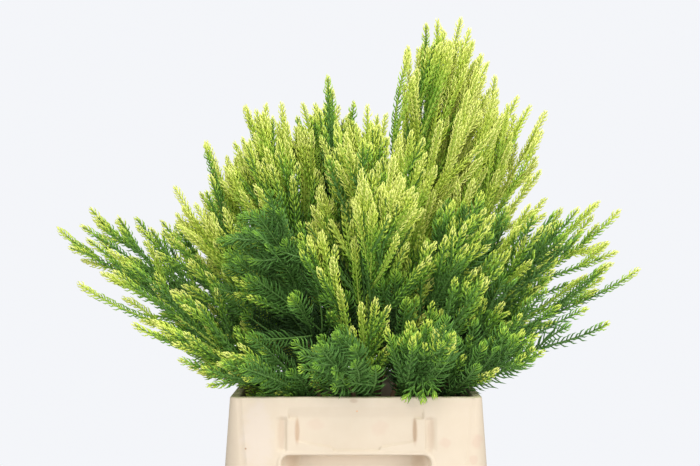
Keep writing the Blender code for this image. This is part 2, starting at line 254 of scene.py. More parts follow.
def tone_group() -> bpy.types.NodeTree:
    """The effect of uneven growth or wear: a colour that drifts in large soft fields and in fine grain.

    Returns:
        A shader group that takes Vector, Colour, Other, Field Scale, Grain Scale and Amount, and gives Colour
        and Mask.
    """
    takes = {"Vector": "Vector", "Colour": "Color", "Other": "Color"}
    takes |= {"Field Scale": "Float", "Grain Scale": "Float", "Amount": "Float"}
    gives = {"Colour": "Color", "Mask": "Float"}
    tree, bench, given, result = new_group("tone", "ShaderNodeTree", takes, gives)
    parts = []
    for scale, span, share in (("Field Scale", (0.32, 0.68), 0.6), ("Grain Scale", (0.30, 0.70), 0.4)):
        noise = bench.remap(bench.noise(given["Vector"], given[scale]), span)
        parts.append(bench.math("MULTIPLY", noise, share))
    mask = bench.math("MULTIPLY", bench.math("ADD", *parts), given["Amount"], clamp=True)
    bench.feed(result, "Mask", mask)
    bench.feed(result, "Colour", bench.blend(mask, given["Colour"], given["Other"]))
    return tree


def stain_and_painted_light_group() -> bpy.types.NodeTree:
    """The effect of a stain, a patch of dirt, or a patch of painted shade or painted highlight: a soft spot
    with a ragged edge, at a place on the piece.

    Returns:
        A shader group that takes Vector, Centre, Size, Ragged and Amount, and gives Mask.
    """
    takes = {"Vector": "Vector", "Centre": "Vector", "Size": "Vector", "Ragged": "Float", "Amount": "Float"}
    tree, bench, given, result = new_group("stain", "ShaderNodeTree", takes, {"Mask": "Float"})
    offset = bench.vector("SUBTRACT", given["Vector"], given["Centre"])
    reach = bench.vector("LENGTH", bench.vector("DIVIDE", offset, given["Size"]))
    uneven = bench.math("SUBTRACT", bench.noise(given["Vector"], 130.0, detail=4.0), 0.5)
    edge = bench.math("MULTIPLY", uneven, given["Ragged"])
    spot = bench.remap(bench.math("ADD", reach, edge), (1.15, 0.45))
    bench.feed(result, "Mask", bench.math("MULTIPLY", spot, given["Amount"], clamp=True))
    return tree


def relief_group() -> bpy.types.NodeTree:
    """The effect of a fine uneven skin: a height from two noises, one of them drawn out along an axis.

    Returns:
        A shader group that takes Vector, Stretch, Coarse Scale and Fine Scale, and gives Height.
    """
    takes = {"Vector": "Vector", "Stretch": "Vector", "Coarse Scale": "Float", "Fine Scale": "Float"}
    tree, bench, given, result = new_group("relief", "ShaderNodeTree", takes, {"Height": "Float"})
    drawn = bench.vector("MULTIPLY", given["Vector"], given["Stretch"])
    coarse = bench.math("MULTIPLY", bench.noise(drawn, given["Coarse Scale"], detail=3.0), 0.7)
    fine = bench.math("MULTIPLY", bench.noise(given["Vector"], given["Fine Scale"]), 0.3)
    bench.feed(result, "Height", bench.math("ADD", coarse, fine))
    return tree


class Effects:
    """The shader groups that the finishes share, each built once."""

    def __init__(self) -> None:
        """Builds the groups."""
        self.tone = tone_group()
        self.stain = stain_and_painted_light_group()
        self.relief = relief_group()


def new_material(name: str) -> tuple[bpy.types.Material, Bench, bpy.types.Node, Socket]:
    """A material with its shader.

    Args:
        name: The material's name.

    Returns:
        The material, its bench, its Principled shader and the socket with Object coordinates.
    """
    material = bpy.data.materials.new(name)
    material.use_nodes = True
    bench = Bench(material.node_tree)
    shader = material.node_tree.nodes["Principled BSDF"]
    return material, bench, shader, bench.add("ShaderNodeTexCoord").outputs["Object"]


@dataclass(frozen=True)
class Relief:
    """A fine uneven skin: how it is drawn out, the scales of its two noises and its depth in metres."""

    stretch: Place
    coarse: float
    fine: float
    depth: float


@dataclass(frozen=True)
class Finish:
    """A skin whose colour and gloss drift from place to place, with a relief if it has one."""

    name: str
    colour: Colour
    other: Colour
    field_scale: float = 26.0
    grain_scale: float = 420.0
    amount: float = 0.9
    roughness: Span = (0.46, 0.60)
    roughest_at: float = 1.0
    specular: float = 0.28
    relief: Relief | None = None

    def material(self, effects: Effects) -> bpy.types.Material:
        """Makes the finish.

        Args:
            effects: The shared shader groups.

        Returns:
            The finish as a material.
        """
        material, bench, shader, place = new_material(self.name)
        inputs = {"Vector": place, "Colour": (*self.colour, 1.0), "Other": (*self.other, 1.0)}
        inputs |= {"Field Scale": self.field_scale, "Grain Scale": self.grain_scale, "Amount": self.amount}
        tone = bench.add("ShaderNodeGroup", inputs, node_tree=effects.tone)
        roughness = bench.remap(tone.outputs["Mask"], (0.0, self.roughest_at), self.roughness)
        bench.feed(shader, "Base Color", self.marked(bench, effects, place, tone.outputs["Colour"]))
        bench.feed(shader, "Roughness", roughness)
        shader.inputs["Specular IOR Level"].default_value = self.specular
        if self.relief:
            inputs = {"Vector": place, "Stretch": self.relief.stretch}
            inputs |= {"Coarse Scale": self.relief.coarse, "Fine Scale": self.relief.fine}
            height = bench.first("ShaderNodeGroup", inputs, node_tree=effects.relief)
            inputs = {"Height": height, "Distance": self.relief.depth, "Strength": 1.0}
            bench.feed(shader, "Normal", bench.first("ShaderNodeBump", inputs))
        return material

    def marked(self, bench: Bench, effects: Effects, place: Socket, colour: Socket) -> Socket:
        """The colour with the marks laid on it, real ones and painted shade or highlight, of which a plain
        finish has none.
        """
        return colour


@dataclass(frozen=True)
class BarkFinish(Finish):
    """The skin of stems and twigs, from rough bark to a smooth green stalk."""

    field_scale: float = 60.0
    grain_scale: float = 700.0
    amount: float = 1.0
    roughness: Span = (0.8, 0.95)
    specular: float = 0.5
    relief: Relief | None = Relief((1.0, 1.0, 0.18), 500.0, 1500.0, 0.0006)


@dataclass(frozen=True)
class StalkFinish(BarkFinish):
    """The smooth skin of a young stalk."""

    roughness: Span = (0.55, 0.95)
    relief: Relief | None = Relief((1.0, 1.0, 0.18), 500.0, 1500.0, 0.0001)


@dataclass(frozen=True)
class StainOrPaintedLight:
    """One mark on the tub, a real stain or a patch of painted shade or painted highlight: its place and reach
    in metres, its colour and how strong it is.
    """

    centre: Place
    size: Place
    colour: Colour
    amount: float
    ragged: float = 1.2


@dataclass(frozen=True)
class PlasticFinish(Finish):
    """Cream moulded plastic, satin, with water stains, dirt along the rim, and painted shade and painted
    highlight in the narrow faces' hollows.
    """

    name: str = "tub_plastic_worn"
    colour: Colour = (0.665, 0.560, 0.425)
    other: Colour = (0.625, 0.510, 0.375)
    field_scale: float = 9.0
    grain_scale: float = 90.0
    amount: float = 0.55
    roughness: Span = (0.40, 0.54)
    roughest_at: float = 0.6
    specular: float = 0.45
    relief: Relief | None = Relief((1.0, 1.0, 0.25), 160.0, 1400.0, 0.00012)
    dirt: Colour = (0.30, 0.29, 0.15)
    dirt_level: Span = (0.2982, 0.2998)
    dirt_scale: float = 70.0
    dirt_amount: Span = (0.25, 0.9)
    stains_and_painted_light: tuple[StainOrPaintedLight, ...] = ()

    def marked(self, bench: Bench, effects: Effects, place: Socket, colour: Socket) -> Socket:
        """The colour with its stains and its patches of painted shade and painted highlight, and with the
        dirt that lies on the rim's flat top.

        Args:
            bench: The material's bench.
            effects: The shared shader groups.
            place: The Object coordinates.
            colour: The clean colour.

        Returns:
            The marked colour's socket.
        """
        # Real stains, and patches of painted shade and painted highlight, laid one over another.
        for stain in self.stains_and_painted_light:
            inputs = {"Vector": place, "Centre": stain.centre, "Size": stain.size}
            inputs |= {"Ragged": stain.ragged, "Amount": stain.amount}
            mask = bench.first("ShaderNodeGroup", inputs, node_tree=effects.stain)
            colour = bench.blend(mask, colour, (*stain.colour, 1.0))
        height = bench.add("ShaderNodeSeparateXYZ", {"Vector": place}).outputs["Z"]
        patchy = bench.remap(bench.noise(place, self.dirt_scale, detail=5.0), (0.30, 0.62), self.dirt_amount)
        grime = bench.math("MULTIPLY", bench.remap(height, self.dirt_level), patchy, clamp=True)
        return bench.blend(grime, colour, (*self.dirt, 1.0))


@dataclass(frozen=True)
class FloorFinish:
    """A pale floor that fades out into the backdrop."""

    name: str = "studio_floor"
    colour: Colour = (0.86, 0.87, 0.90)
    other: Colour = (0.78, 0.79, 0.82)
    fade: Span = (0.75, 1.45)

    def material(self) -> bpy.types.Material:
        """Makes the finish.

        Returns:
            The finish as a material.
        """
        material, bench, shader, place = new_material(self.name)
        tone = bench.remap(bench.noise(place, 3.0), (0.2, 0.8), (0.0, 0.06))
        bench.feed(shader, "Base Color", bench.blend(tone, (*self.colour, 1.0), (*self.other, 1.0)))
        bench.feed(shader, "Alpha", bench.remap(bench.vector("LENGTH", place), self.fade, (1.0, 0.0)))
        shader.inputs["Roughness"].default_value = 0.9
        return material


def new_object(name: str, places: list, faces: list, edges: list | None = None) -> bpy.types.Object:
    """An object at the origin, linked to the scene.

    Args:
        name: Its name.
        places: Its points.
        faces: Its faces, as runs of point numbers.
        edges: Its loose edges.

    Returns:
        The object.
    """
    mesh = bpy.data.meshes.new(name)
    mesh.from_pydata([tuple(place) for place in places], edges or [], faces)
    mesh.update()
    obj = bpy.data.objects.new(name, mesh)
    bpy.context.scene.collection.objects.link(obj)
    return obj


class Strands:
    """Chains of points for one edge mesh, with values at each point for Geometry Nodes to read."""

    def __init__(self) -> None:
        """Starts empty."""
        self.places: list[Vector] = []
        self.edges: list[tuple[int, int]] = []
        self.values: dict[str, list] = {}
        self.length = 0.0

    def add(self, places: list[Vector], **values: list) -> None:
        """Adds one chain.

        Args:
            places: Its points, from its root to its tip.
            values: One list for each attribute, as long as places.
        """
        first = len(self.places)
        self.places += places
        self.edges += [(first + i, first + i + 1) for i in range(len(places) - 1)]
        self.length += sum((b - a).length for a, b in zip(places, places[1:]))
        for name, row in values.items():
            self.values.setdefault(name, []).extend(row)

    def object(self, name: str) -> bpy.types.Object:
        """Makes an object of loose edges with point attributes.

        Args:
            name: Its name.

        Returns:
            The chains as that object.
        """
        obj = new_object(name, self.places, [], self.edges)
        for label, row in self.values.items():
            is_vector = isinstance(row[0], Vector)
            layer = obj.data.attributes.new(label, "FLOAT_VECTOR" if is_vector else "FLOAT", "POINT")
            flat = [number for value in row for number in value] if is_vector else row
            layer.data.foreach_set("vector" if is_vector else "value", flat)
        return obj


def end_tree(bench: Bench, given: dict[str, Socket], result: bpy.types.Node, shape: Socket) -> None:
    """Ends a Geometry Nodes tree with a real, smooth shape in the tree's material.

    Args:
        bench: The tree's bench.
        given: Its input sockets by name.
        result: Its output node.
        shape: What the tree made.
    """
    for kind in ("GeometryNodeRealizeInstances", "GeometryNodeSetShadeSmooth"):
        shape = bench.first(kind, {"Geometry": shape})
    inputs = {"Geometry": shape, "Material": given["Material"]}
    bench.feed(result, "Geometry", bench.first("GeometryNodeSetMaterial", inputs))


def needle_tree() -> bpy.types.NodeTree:
    """Needles along strands: one every so often, each turned on from the last and leaning to the tip.

    Returns:
        The tree. Its inputs are Geometry, Needle, Spacing, Uneven and Material.
    """
    takes = {"Geometry": "Geometry", "Needle": "Object", "Spacing": "Float", "Uneven": "Float"}
    takes |= {"Material": "Material"}
    gives = {"Geometry": "Geometry"}
    tree, bench, given, result = new_group("needles_on_shoots", "GeometryNodeTree", takes, gives)
    curve = bench.first("GeometryNodeMeshToCurve", {"Mesh": given["Geometry"]})
    inputs = {"Curve": curve, "Length": given["Spacing"]}
    dots = bench.first("GeometryNodeCurveToPoints", inputs, mode="LENGTH")
    index = bench.first("GeometryNodeInputIndex")
    aim = "FunctionNodeAlignRotationToVector"
    facing = bench.first(aim, {"Vector": bench.named("along", "FLOAT_VECTOR")}, axis="Z")
    inputs = {"Rotation": facing, "Vector": bench.named("flat", "FLOAT_VECTOR")}
    facing = bench.first(aim, inputs, axis="X", pivot_axis="Z")
    least, most = (bench.math(operation, 1.0, given["Uneven"]) for operation in ("SUBTRACT", "ADD"))
    uneven = bench.chance(least, most, index, seed=5)
    stray = bench.math("MULTIPLY", bench.chance(-0.5, 0.5, index, seed=8), bench.named("spread"))
    stray = bench.math("ADD", stray, math.pi / 2)
    turn = bench.math("ADD", bench.math("MULTIPLY", index, bench.named("turn")), stray)
    lean = bench.math("MULTIPLY", bench.named("lean"), uneven)
    for angle, axis in ((turn, "Z"), (lean, "X")):
        euler = bench.first("ShaderNodeCombineXYZ", {axis: angle})
        spin = bench.first("FunctionNodeEulerToRotation", {"Euler": euler})
        inputs = {"Rotation": facing, "Rotate By": spin}
        facing = bench.first("FunctionNodeRotateRotation", inputs, rotation_space="LOCAL")
    width = bench.named("needle_width")
    length = bench.math("MULTIPLY", bench.named("needle_length"), uneven)
    scale = bench.first("ShaderNodeCombineXYZ", {"X": width, "Y": width, "Z": length})
    needle = bench.add("GeometryNodeObjectInfo", {"Object": given["Needle"]}).outputs["Geometry"]
    inputs = {"Points": dots, "Instance": needle, "Rotation": facing, "Scale": scale}
    end_tree(bench, given, result, bench.first("GeometryNodeInstanceOnPoints", inputs))
    return tree


def stalk_tree() -> bpy.types.NodeTree:
    """Round stalks along strands, as thick as the strands say, with ridges of bark if wanted.

    Returns:
        The tree. Its inputs are Geometry, Sides, Relief, Relief Scale and Material.
    """
    takes = {"Geometry": "Geometry", "Sides": "Int", "Relief": "Float", "Relief Scale": "Float"}
    takes |= {"Material": "Material"}
    tree, bench, given, result = new_group("stalks", "GeometryNodeTree", takes, {"Geometry": "Geometry"})
    curve = bench.first("GeometryNodeMeshToCurve", {"Mesh": given["Geometry"]})
    ring = bench.first("GeometryNodeCurvePrimitiveCircle", {"Resolution": given["Sides"], "Radius": 1.0})
    inputs = {"Curve": curve, "Profile Curve": ring, "Scale": bench.named("thickness"), "Fill Caps": True}
    tube = bench.first("GeometryNodeCurveToMesh", inputs)
    drawn = bench.vector("MULTIPLY", bench.first("GeometryNodeInputPosition"), (1.0, 1.0, 0.22))
    ridges = bench.math("SUBTRACT", bench.noise(drawn, given["Relief Scale"]), 0.5)
    height = bench.math("MULTIPLY", ridges, given["Relief"])
    lift = bench.math("MULTIPLY", height, bench.named("thickness"))
    inputs = {"Vector": bench.first("GeometryNodeInputNormal"), "Scale": lift}
    offset = bench.first("ShaderNodeVectorMath", inputs, operation="SCALE")
    raised = bench.first("GeometryNodeSetPosition", {"Geometry": tube, "Offset": offset})
    end_tree(bench, given, result, raised)
    return tree


def grow(obj: bpy.types.Object, tree: bpy.types.NodeTree, values: dict[str, object]) -> bpy.types.Object:
    """Runs a Geometry Nodes tree on an object and keeps the plain mesh that it gives.

    Args:
        obj: The object, whose mesh is replaced.
        tree: The tree.
        values: The tree's inputs by name.

    Returns:
        The object.
    """
    modifier = obj.modifiers.new(tree.name, "NODES")
    modifier.node_group = tree
    for item in tree.interface.items_tree:
        if item.item_type == "SOCKET" and item.in_out == "INPUT" and item.name in values:
            modifier[item.identifier] = values[item.name]
    graph = bpy.context.evaluated_depsgraph_get()
    mesh = bpy.data.meshes.new_from_object(obj.evaluated_get(graph), depsgraph=graph)
    old = obj.data
    obj.modifiers.remove(modifier)
    obj.data = mesh
    bpy.data.meshes.remove(old)
    mesh.name = obj.name
    for name in [layer.name for layer in mesh.attributes if layer.name in STRAND_VALUES]:
        mesh.attributes.remove(mesh.attributes[name])
    return obj


def take_over(obj: bpy.types.Object, slot: str, nodes: Iterable[str]) -> None:
    """Puts a finished piece on the body, in the place of the frame's plain nodes.

    Args:
        obj: The piece.
        slot: Its material slot; not used.
        nodes: The names of the nodes that it replaces.
    """
    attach(obj, "root")
    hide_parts(*nodes)
    log.info("%s: %d faces", obj.name, len(obj.data.polygons))


@dataclass
class FlowerTub:
    """A flared moulded tub with a thick rim, and with a card recess and a hand pocket in each narrow face.

    On a narrow face, places across it are counted from its middle, and places down it from the rim. An edge
    is the run in which a form starts, beside the line that it is given for.
    """

    height: float = 0.300
    rim_width: float = 0.253
    rim_depth: float = 0.353
    foot_width: float = 0.300
    foot_depth: float = 0.400
    rim_corner: float = 0.0095
    foot_corner: float = 0.062
    least_corner: float = 0.003
    wall: float = 0.004
    rim_wall: float = 0.009
    rim_band: float = 0.010
    edge: float = 0.0015
    floor: float = 0.005
    base_insets: Span = (0.060, 0.020)
    pocket_half: float = 0.075
    pocket_top: float = 0.0575
    pocket_height: float = 0.048
    pocket_depth: float = 0.026
    pocket_corner: float = 0.008
    pocket_slant: float = 0.022
    pocket_end_share: float = 0.30
    pocket_edge: Span = (0.0, 0.0026)
    lip_height: float = 0.0010
    lip_width: float = 0.0042
    lip_inner_edge: Span = (-0.0008, 0.0010)
    lip_outer_edge: Span = (0.0, -0.0020)
    slope_start: float = 0.0090
    recess_half: float = 0.0605
    recess_side_edge: Span = (0.0, -0.0035)
    recess_depth: float = 0.0025
    plate_top: float = 0.0215
    plate_top_edge: Span = (0.0008, -0.0008)
    plate_out: float = 0.0685
    plate_side_edge: Span = (0.0, -0.0025)
    foot_side: float = 0.0440
    foot_middle: float = 0.0500
    foot_low: float = 0.0530
    foot_edge: Span = (0.0005, -0.0013)
    step_half: float = 0.0255
    step_edge: Span = (-0.003, 0.0)
    groove_depth: float = 0.0022
    groove_in_edge: Span = (0.0, 0.0022)
    groove_out_edge: Span = (0.0820, 0.0735)
    groove_top_edge: Span = (-0.0022, 0.0014)
    groove_low: float = 0.0540
    groove_low_edge: Span = (0.0012, -0.0025)
    crease_depth: float = 0.0009
    fine_step: float = 0.00085
    column_marks: tuple[Span, ...] = ((0.0225, 0.0285), (0.0560, 0.0840))
    column_step: float = 0.0032
    outer_marks: tuple[Span, ...] = ((0.0, 0.0250), (0.0400, 0.0640), (0.1000, 0.1120))
    outer_step: float = 0.0040
    inner_marks: tuple[Span, ...] = ((0.045, 0.115),)
    inner_steps: Span = (0.0018, 0.0090)
    detail_low: float = 0.130
    corner_steps: int = 8
    side_steps: int = 12
    finish: PlasticFinish = field(default_factory=PlasticFinish)

    def pocket_distance(self, across: float, down: float) -> float:
        """How far a point on the face lies outside the pocket's rounded outline.

        Args:
            across: Its place across the face.
            down: Its place down the face.

        Returns:
            The distance, less than 0 inside the outline.
        """
        x = abs(across) - (self.pocket_half - self.pocket_corner)
        half = self.pocket_height / 2
        y = abs(down - self.pocket_top - half) - (half - self.pocket_corner)
        outside = math.hypot(max(x, 0.0), max(y, 0.0))
        return outside + min(max(x, y), 0.0) - self.pocket_corner

    def pocket(self, across: float, down: float, margin: float) -> float:
        """How deep the pocket is at a point.

        Args:
            across: Its place across the face.
            down: Its place down the face.
            margin: How much the pocket is grown all round.

        Returns:
            The depth.
        """
        inside = margin - self.pocket_distance(across, down)
        if inside <= 0:
            return 0.0
        end = ramp(self.pocket_half + margin - abs(across), 0.0, self.pocket_slant)
        return self.pocket_depth * past(inside, 0.0, self.pocket_edge) * mix(self.pocket_end_share, 1.0, end)

    def recess(self, across: float, down: float) -> float:
        """How deep the card recess with its sloping top and stepped foot is at a point.

        Args:
            across: Its place across the face.
            down: Its place down the face.

        Returns:
            The depth.
        """
        x = abs(across)
        share = (x - self.step_half) / (self.recess_half - self.step_half)
        low = mix(self.foot_middle, self.foot_side, min(max(share, 0.0), 1.0))
        low = mix(self.foot_low, low, past(x, self.step_half, self.step_edge))
        foot = past(down, low, self.foot_edge)
        in_plates = past(x, self.recess_half, self.recess_side_edge)
        over_plates = past(x, self.plate_out, self.plate_side_edge)
        over_plates *= past(down, self.plate_top, self.plate_top_edge)
        slope = ramp(down, self.slope_start, self.plate_top)
        return self.recess_depth * slope * max(foot * in_plates, over_plates)

    def groove(self, across: float, down: float) -> float:
        """How deep the soft channel beside the recess is at a point.

        Args:
            across: Its place across the face.
            down: Its place down the face.

        Returns:
            The depth.
        """
        x = abs(across)
        run = past(down, self.plate_top, self.groove_top_edge)
        run *= past(down, self.groove_low, self.groove_low_edge)
        inner = past(x, self.plate_out, self.groove_in_edge)
        return self.groove_depth * run * inner * ramp(x, *self.groove_out_edge)

    def lip(self, across: float, down: float) -> float:
        """How far the rounded lip round the pocket stands out at a point.

        Args:
            across: Its place across the face.
            down: Its place down the face.

        Returns:
            The height.
        """
        out = self.pocket_distance(across, down)
        rise = self.lip_height * past(out, 0.0, self.lip_inner_edge)
        return rise * past(out, self.lip_width, self.lip_outer_edge)

    def inward(self, across: float, down: float) -> float:
        """How far the outer face lies inside its plain plane at a point."""
        hollow = self.pocket(across, down, 0.0) + self.recess(across, down) + self.groove(across, down)
        return hollow - self.lip(across, down)

    @staticmethod
    def stations(low: float, high: float, marks: tuple[Span, ...], fine: float, coarse: float) -> list[float]:
        """Places along a line, close together near what needs them.

        Args:
            low: The first place.
            high: The last place.
            marks: Spans in which the places are close together.
            fine: The step there.
            coarse: The step elsewhere.

        Returns:
            The places in order.
        """
        places = [low]
        while places[-1] < high - fine / 2:
            near = any(start - coarse < places[-1] < end for start, end in marks)
            places.append(min(places[-1] + (fine if near else coarse), high))
        return places

    def face_columns(self, flat: float) -> list[float]:
        """Places across half a narrow face.

        Args:
            flat: Where the face's flat part ends.

        Returns:
            The places, from its middle to that end.
        """
        last_mark = self.column_marks[-1][1]
        columns = self.stations(0.0, last_mark, self.column_marks, self.fine_step, self.column_step)
        last = columns[-1]
        outer = [last + (flat - last) * tenths / 10 for tenths in (2, 4, 6, 8, 9, 9.6, 10)]
        return [x * min(1.0, flat / self.groove_out_edge[0]) for x in columns] + outer

    def ring(self, height: float, inset: float, detail: Detail) -> list[Vector]:
        """The tub's outline at a height.

        Args:
            height: Its height.
            inset: How far it lies inside the outer outline.
            detail: What it follows.

        Returns:
            Its points, anticlockwise from above, starting at the front face's middle.
        """
        share = height / self.height
        half_width = mix(self.foot_width, self.rim_width, share) / 2 - inset
        half_depth = mix(self.foot_depth, self.rim_depth, share) / 2 - inset
        corner = max(mix(self.foot_corner, self.rim_corner, share) - inset, self.least_corner)
        flat, straight = half_width - corner, half_depth - corner
        flare = math.atan((self.foot_depth - self.rim_depth) / 2 / self.height)
        down = (self.height - height) / math.cos(flare)

        def face_point(across: float) -> Vector:
            """The point of the narrow face at a place across it."""
            depth = 0.0
            if detail is Detail.OUTER:
                depth = self.inward(across, down)
                if abs(abs(across) - flat) < 1e-6:
                    depth += self.crease_depth
            elif detail is Detail.INNER:
                depth = self.pocket(across, down, self.wall)
            return Vector((across, -half_depth + depth * math.cos(flare), height + depth * math.sin(flare)))

        quarter = [face_point(x) for x in self.face_columns(flat)]
        for step in range(1, self.corner_steps):
            angle = math.pi / 2 * step / self.corner_steps
            place = (flat + corner * math.sin(angle), -straight - corner * math.cos(angle), height)
            quarter.append(Vector(place))
        for step in range(self.side_steps // 2 + 1):
            quarter.append(Vector((half_width, -straight * (1 - 2 * step / self.side_steps), height)))
        half = quarter + [Vector((p.x, -p.y, p.z)) for p in reversed(quarter[:-1])]
        return half + [Vector((-p.x, p.y, p.z)) for p in reversed(half[1:-1])]

    def profile(self) -> list[tuple[float, float, Detail]]:
        """The rings of the tub's skin, from under the foot, up the outside and down the inside.

        Returns:
            Each ring's height, its inset from the outer outline, and what it follows.
        """
        high, edge, wall, rim_wall, floor = self.height, self.edge, self.wall, self.rim_wall, self.floor
        arc = [math.pi / 2 * k / 4 for k in range(1, 5)]
        bends = [(edge * (1 - math.cos(a)), edge * (1 - math.sin(a))) for a in arc]
        turns = [(edge * (1 - math.sin(a)), edge * (1 - math.cos(a))) for a in arc]
        foot = [(0.0, inset) for inset in (*self.base_insets, edge)] + bends
        downs = self.stations(edge, high - 2 * edge, self.outer_marks, self.fine_step, self.outer_step)
        downs = [down for order, down in enumerate(downs) if down < self.detail_low or order % 3 == 0]
        low = high - self.rim_band
        rim = [(high - down, inset) for down, inset in turns]
        rim += [(high, mix(edge, rim_wall - edge, k / 4)) for k in (1, 2, 3)]
        rim += [(high - down, rim_wall - inset) for down, inset in bends]
        rim += [(mix(high - edge, low, k / 3), rim_wall) for k in (1, 2, 3)]
        rim += [(low - 0.0008, wall + 0.0012), (low - 0.0020, wall)]
        inner = self.stations(self.rim_band + 0.003, high - floor - edge, self.inner_marks, *self.inner_steps)
        bottom = [(floor + up, wall + inset) for up, inset in turns]
        bottom += [(floor, inset) for inset in reversed(self.base_insets)]
        rings = [(*row, Detail.PLAIN) for row in foot]
        rings += [(high - down, 0.0, Detail.OUTER) for down in reversed(downs)]
        rings += [(*row, Detail.PLAIN) for row in rim]
        rings += [(high - down, wall, Detail.INNER) for down in inner]
        return rings + [(*row, Detail.PLAIN) for row in bottom]

    def build(self) -> bpy.types.Object:
        """Makes the tub as one closed skin.

        Returns:
            The tub.
        """
        rings = [self.ring(*row) for row in self.profile()]
        count = len(rings[0])
        faces = [tuple(reversed(range(count)))]
        pairs = [(i, (i + 1) % count) for i in range(count)]
        for low in range(0, count * (len(rings) - 1), count):
            faces += [(low + i, low + j, low + count + j, low + count + i) for i, j in pairs]
        top = count * (len(rings) - 1)
        faces.append(tuple(range(top, top + count)))
        tub = new_object("flower_tub", [point for ring in rings for point in ring], faces)
        tub.data.shade_smooth()
        return tub

    def dress(self, tub: bpy.types.Object, effects: Effects) -> None:
        """Gives the tub its plastic and puts it in the place of the frame's tub."""
        tub.data.materials.append(self.finish.material(effects))
        take_over(tub, "tub_plastic", ["tub"])


@dataclass(frozen=True)
class Branch:
    """One cut branch: where its tip leans, its reach and height over the rim, its tint, its shoots' draw."""

    azimuth: float
    reach: float
    height: float
    gold: float
    draw: Place = (0.0, 0.0, 0.55)


PLAIN_DRAW = Vector(Branch.draw)

BRANCHES = {
    Ring.OUTER: (
        Branch(5, 0.317, 0.124, 0.55, (0.30, 0.0, 0.05)),
        Branch(22, 0.335, 0.192, 0.65, (0.25, 0.0, 0.25)),
        Branch(51, 0.290, 0.110, 0.30),
        Branch(82, 0.280, 0.120, 0.40),
        Branch(113, 0.290, 0.090, 0.30),
        Branch(139, 0.290, 0.140, 0.45),
        Branch(158, 0.335, 0.194, 0.62, (-0.20, 0.0, 0.30)),
        Branch(174, 0.335, 0.170, 0.62, (-0.40, 0.0, -0.10)),
        Branch(190, 0.300, 0.110, 0.72, (-0.45, 0.0, -0.15)),
        Branch(210, 0.262, 0.070, 0.62, (-0.40, 0.0, -0.05)),
        Branch(232, 0.245, 0.030, 0.34, (-0.70, 0.0, -0.20)),
        Branch(262, 0.245, 0.055, 0.04, (-0.70, 0.0, -0.25)),
        Branch(292, 0.250, 0.065, 0.33, (-0.25, 0.0, 1.90)),
        Branch(316, 0.258, 0.045, 0.36, (0.35, 0.0, 1.70)),
        Branch(338, 0.282, 0.070, 0.30, (0.35, 0.0, 0.10)),
    ),
    Ring.MIDDLE: (
        Branch(350, 0.243, 0.190, 0.45),
        Branch(14, 0.222, 0.302, 1.15),
        Branch(60, 0.205, 0.265, 0.70),
        Branch(103, 0.190, 0.240, 0.50),
        Branch(160, 0.180, 0.268, 0.95),
        Branch(186, 0.197, 0.214, 0.92),
        Branch(238, 0.165, 0.205, 0.14, (-0.80, 0.0, -0.30)),
        Branch(286, 0.142, 0.240, 0.95),
        Branch(318, 0.175, 0.205, 0.42),
    ),
    Ring.INNER: (
        Branch(12, 0.120, 0.404, 1.15),
        Branch(30, 0.172, 0.345, 1.20),
        Branch(120, 0.060, 0.330, 0.55),
        Branch(175, 0.122, 0.305, 0.90),
        Branch(285, 0.050, 0.300, 0.80),
    ),
}


@dataclass(frozen=True)
class Opening:
    """A gap in the crown's outline, right through it: its middle, and its reach across and up."""

    x: float
    z: float
    half_width: float
    half_height: float

    def holds(self, point: Vector) -> bool:
        """Whether a point lies in the opening."""
        return math.hypot((point.x - self.x) / self.half_width, (point.z - self.z) / self.half_height) < 1


OPENINGS = (
    Opening(0.019, 0.648, 0.036, 0.056),
    Opening(0.038, 0.590, 0.010, 0.012),
    Opening(0.252, 0.560, 0.045, 0.060),
    Opening(-0.150, 0.600, 0.032, 0.040),
    Opening(-0.230, 0.530, 0.065, 0.045),
    Opening(-0.230, 0.330, 0.050, 0.030),
    Opening(-0.290, 0.392, 0.040, 0.024),
)


@dataclass(frozen=True)
class Spire:
    """A shoot that stands out at the crown's top: its tip's place across and up, and its tint."""

    x: float
    z: float
    gold: float


SPIRES = (
    Spire(0.078, 0.695, 0.60),
    Spire(0.090, 0.697, 0.66),
    Spire(0.057, 0.657, 0.66),
    Spire(0.139, 0.662, 0.90),
    Spire(0.155, 0.638, 0.95),
    Spire(0.182, 0.617, 0.85),
    Spire(0.196, 0.607, 0.80),
    Spire(-0.030, 0.634, 0.40),
    Spire(-0.058, 0.607, 0.75),
    Spire(-0.081, 0.606, 0.80),
    Spire(-0.099, 0.606, 0.80),
    Spire(-0.122, 0.603, 0.62),
    Spire(-0.164, 0.562, 0.45),
    Spire(0.033, 0.592, 0.85),
    Spire(-0.002, 0.608, 0.35),
)

OVER_RIM = tuple(
    tuple(Vector(point) for point in ends)
    for ends in (
        ((0.068, -0.150, 0.342), (0.066, -0.172, 0.326), (0.058, -0.187, 0.311), (0.0490, -0.190, 0.3000)),
        ((0.066, -0.168, 0.326), (0.066, -0.180, 0.319), (0.067, -0.188, 0.309), (0.0660, -0.190, 0.2975)),
        ((0.067, -0.162, 0.330), (0.071, -0.178, 0.322), (0.075, -0.186, 0.312), (0.0780, -0.188, 0.3030)),
    )
)


def bezier(ends: Curve, share: float) -> Vector:
    """The point of a cubic Bezier curve.

    Args:
        ends: Its control points.
        share: A share of its run.

    Returns:
        The point there.
    """
    a, b, c, d = ends
    rest = 1 - share
    return a * rest**3 + b * (3 * rest**2 * share) + c * (3 * rest * share**2) + d * share**3


def bezier_slope(ends: Curve, share: float) -> Vector:
    """The direction of a cubic Bezier curve.

    Args:
        ends: Its control points.
        share: A share of its run.

    Returns:
        The unit direction there.
    """
    a, b, c, d = ends
    rest = 1 - share
    return ((b - a) * rest**2 + (c - b) * (2 * rest * share) + (d - c) * share**2).normalized()


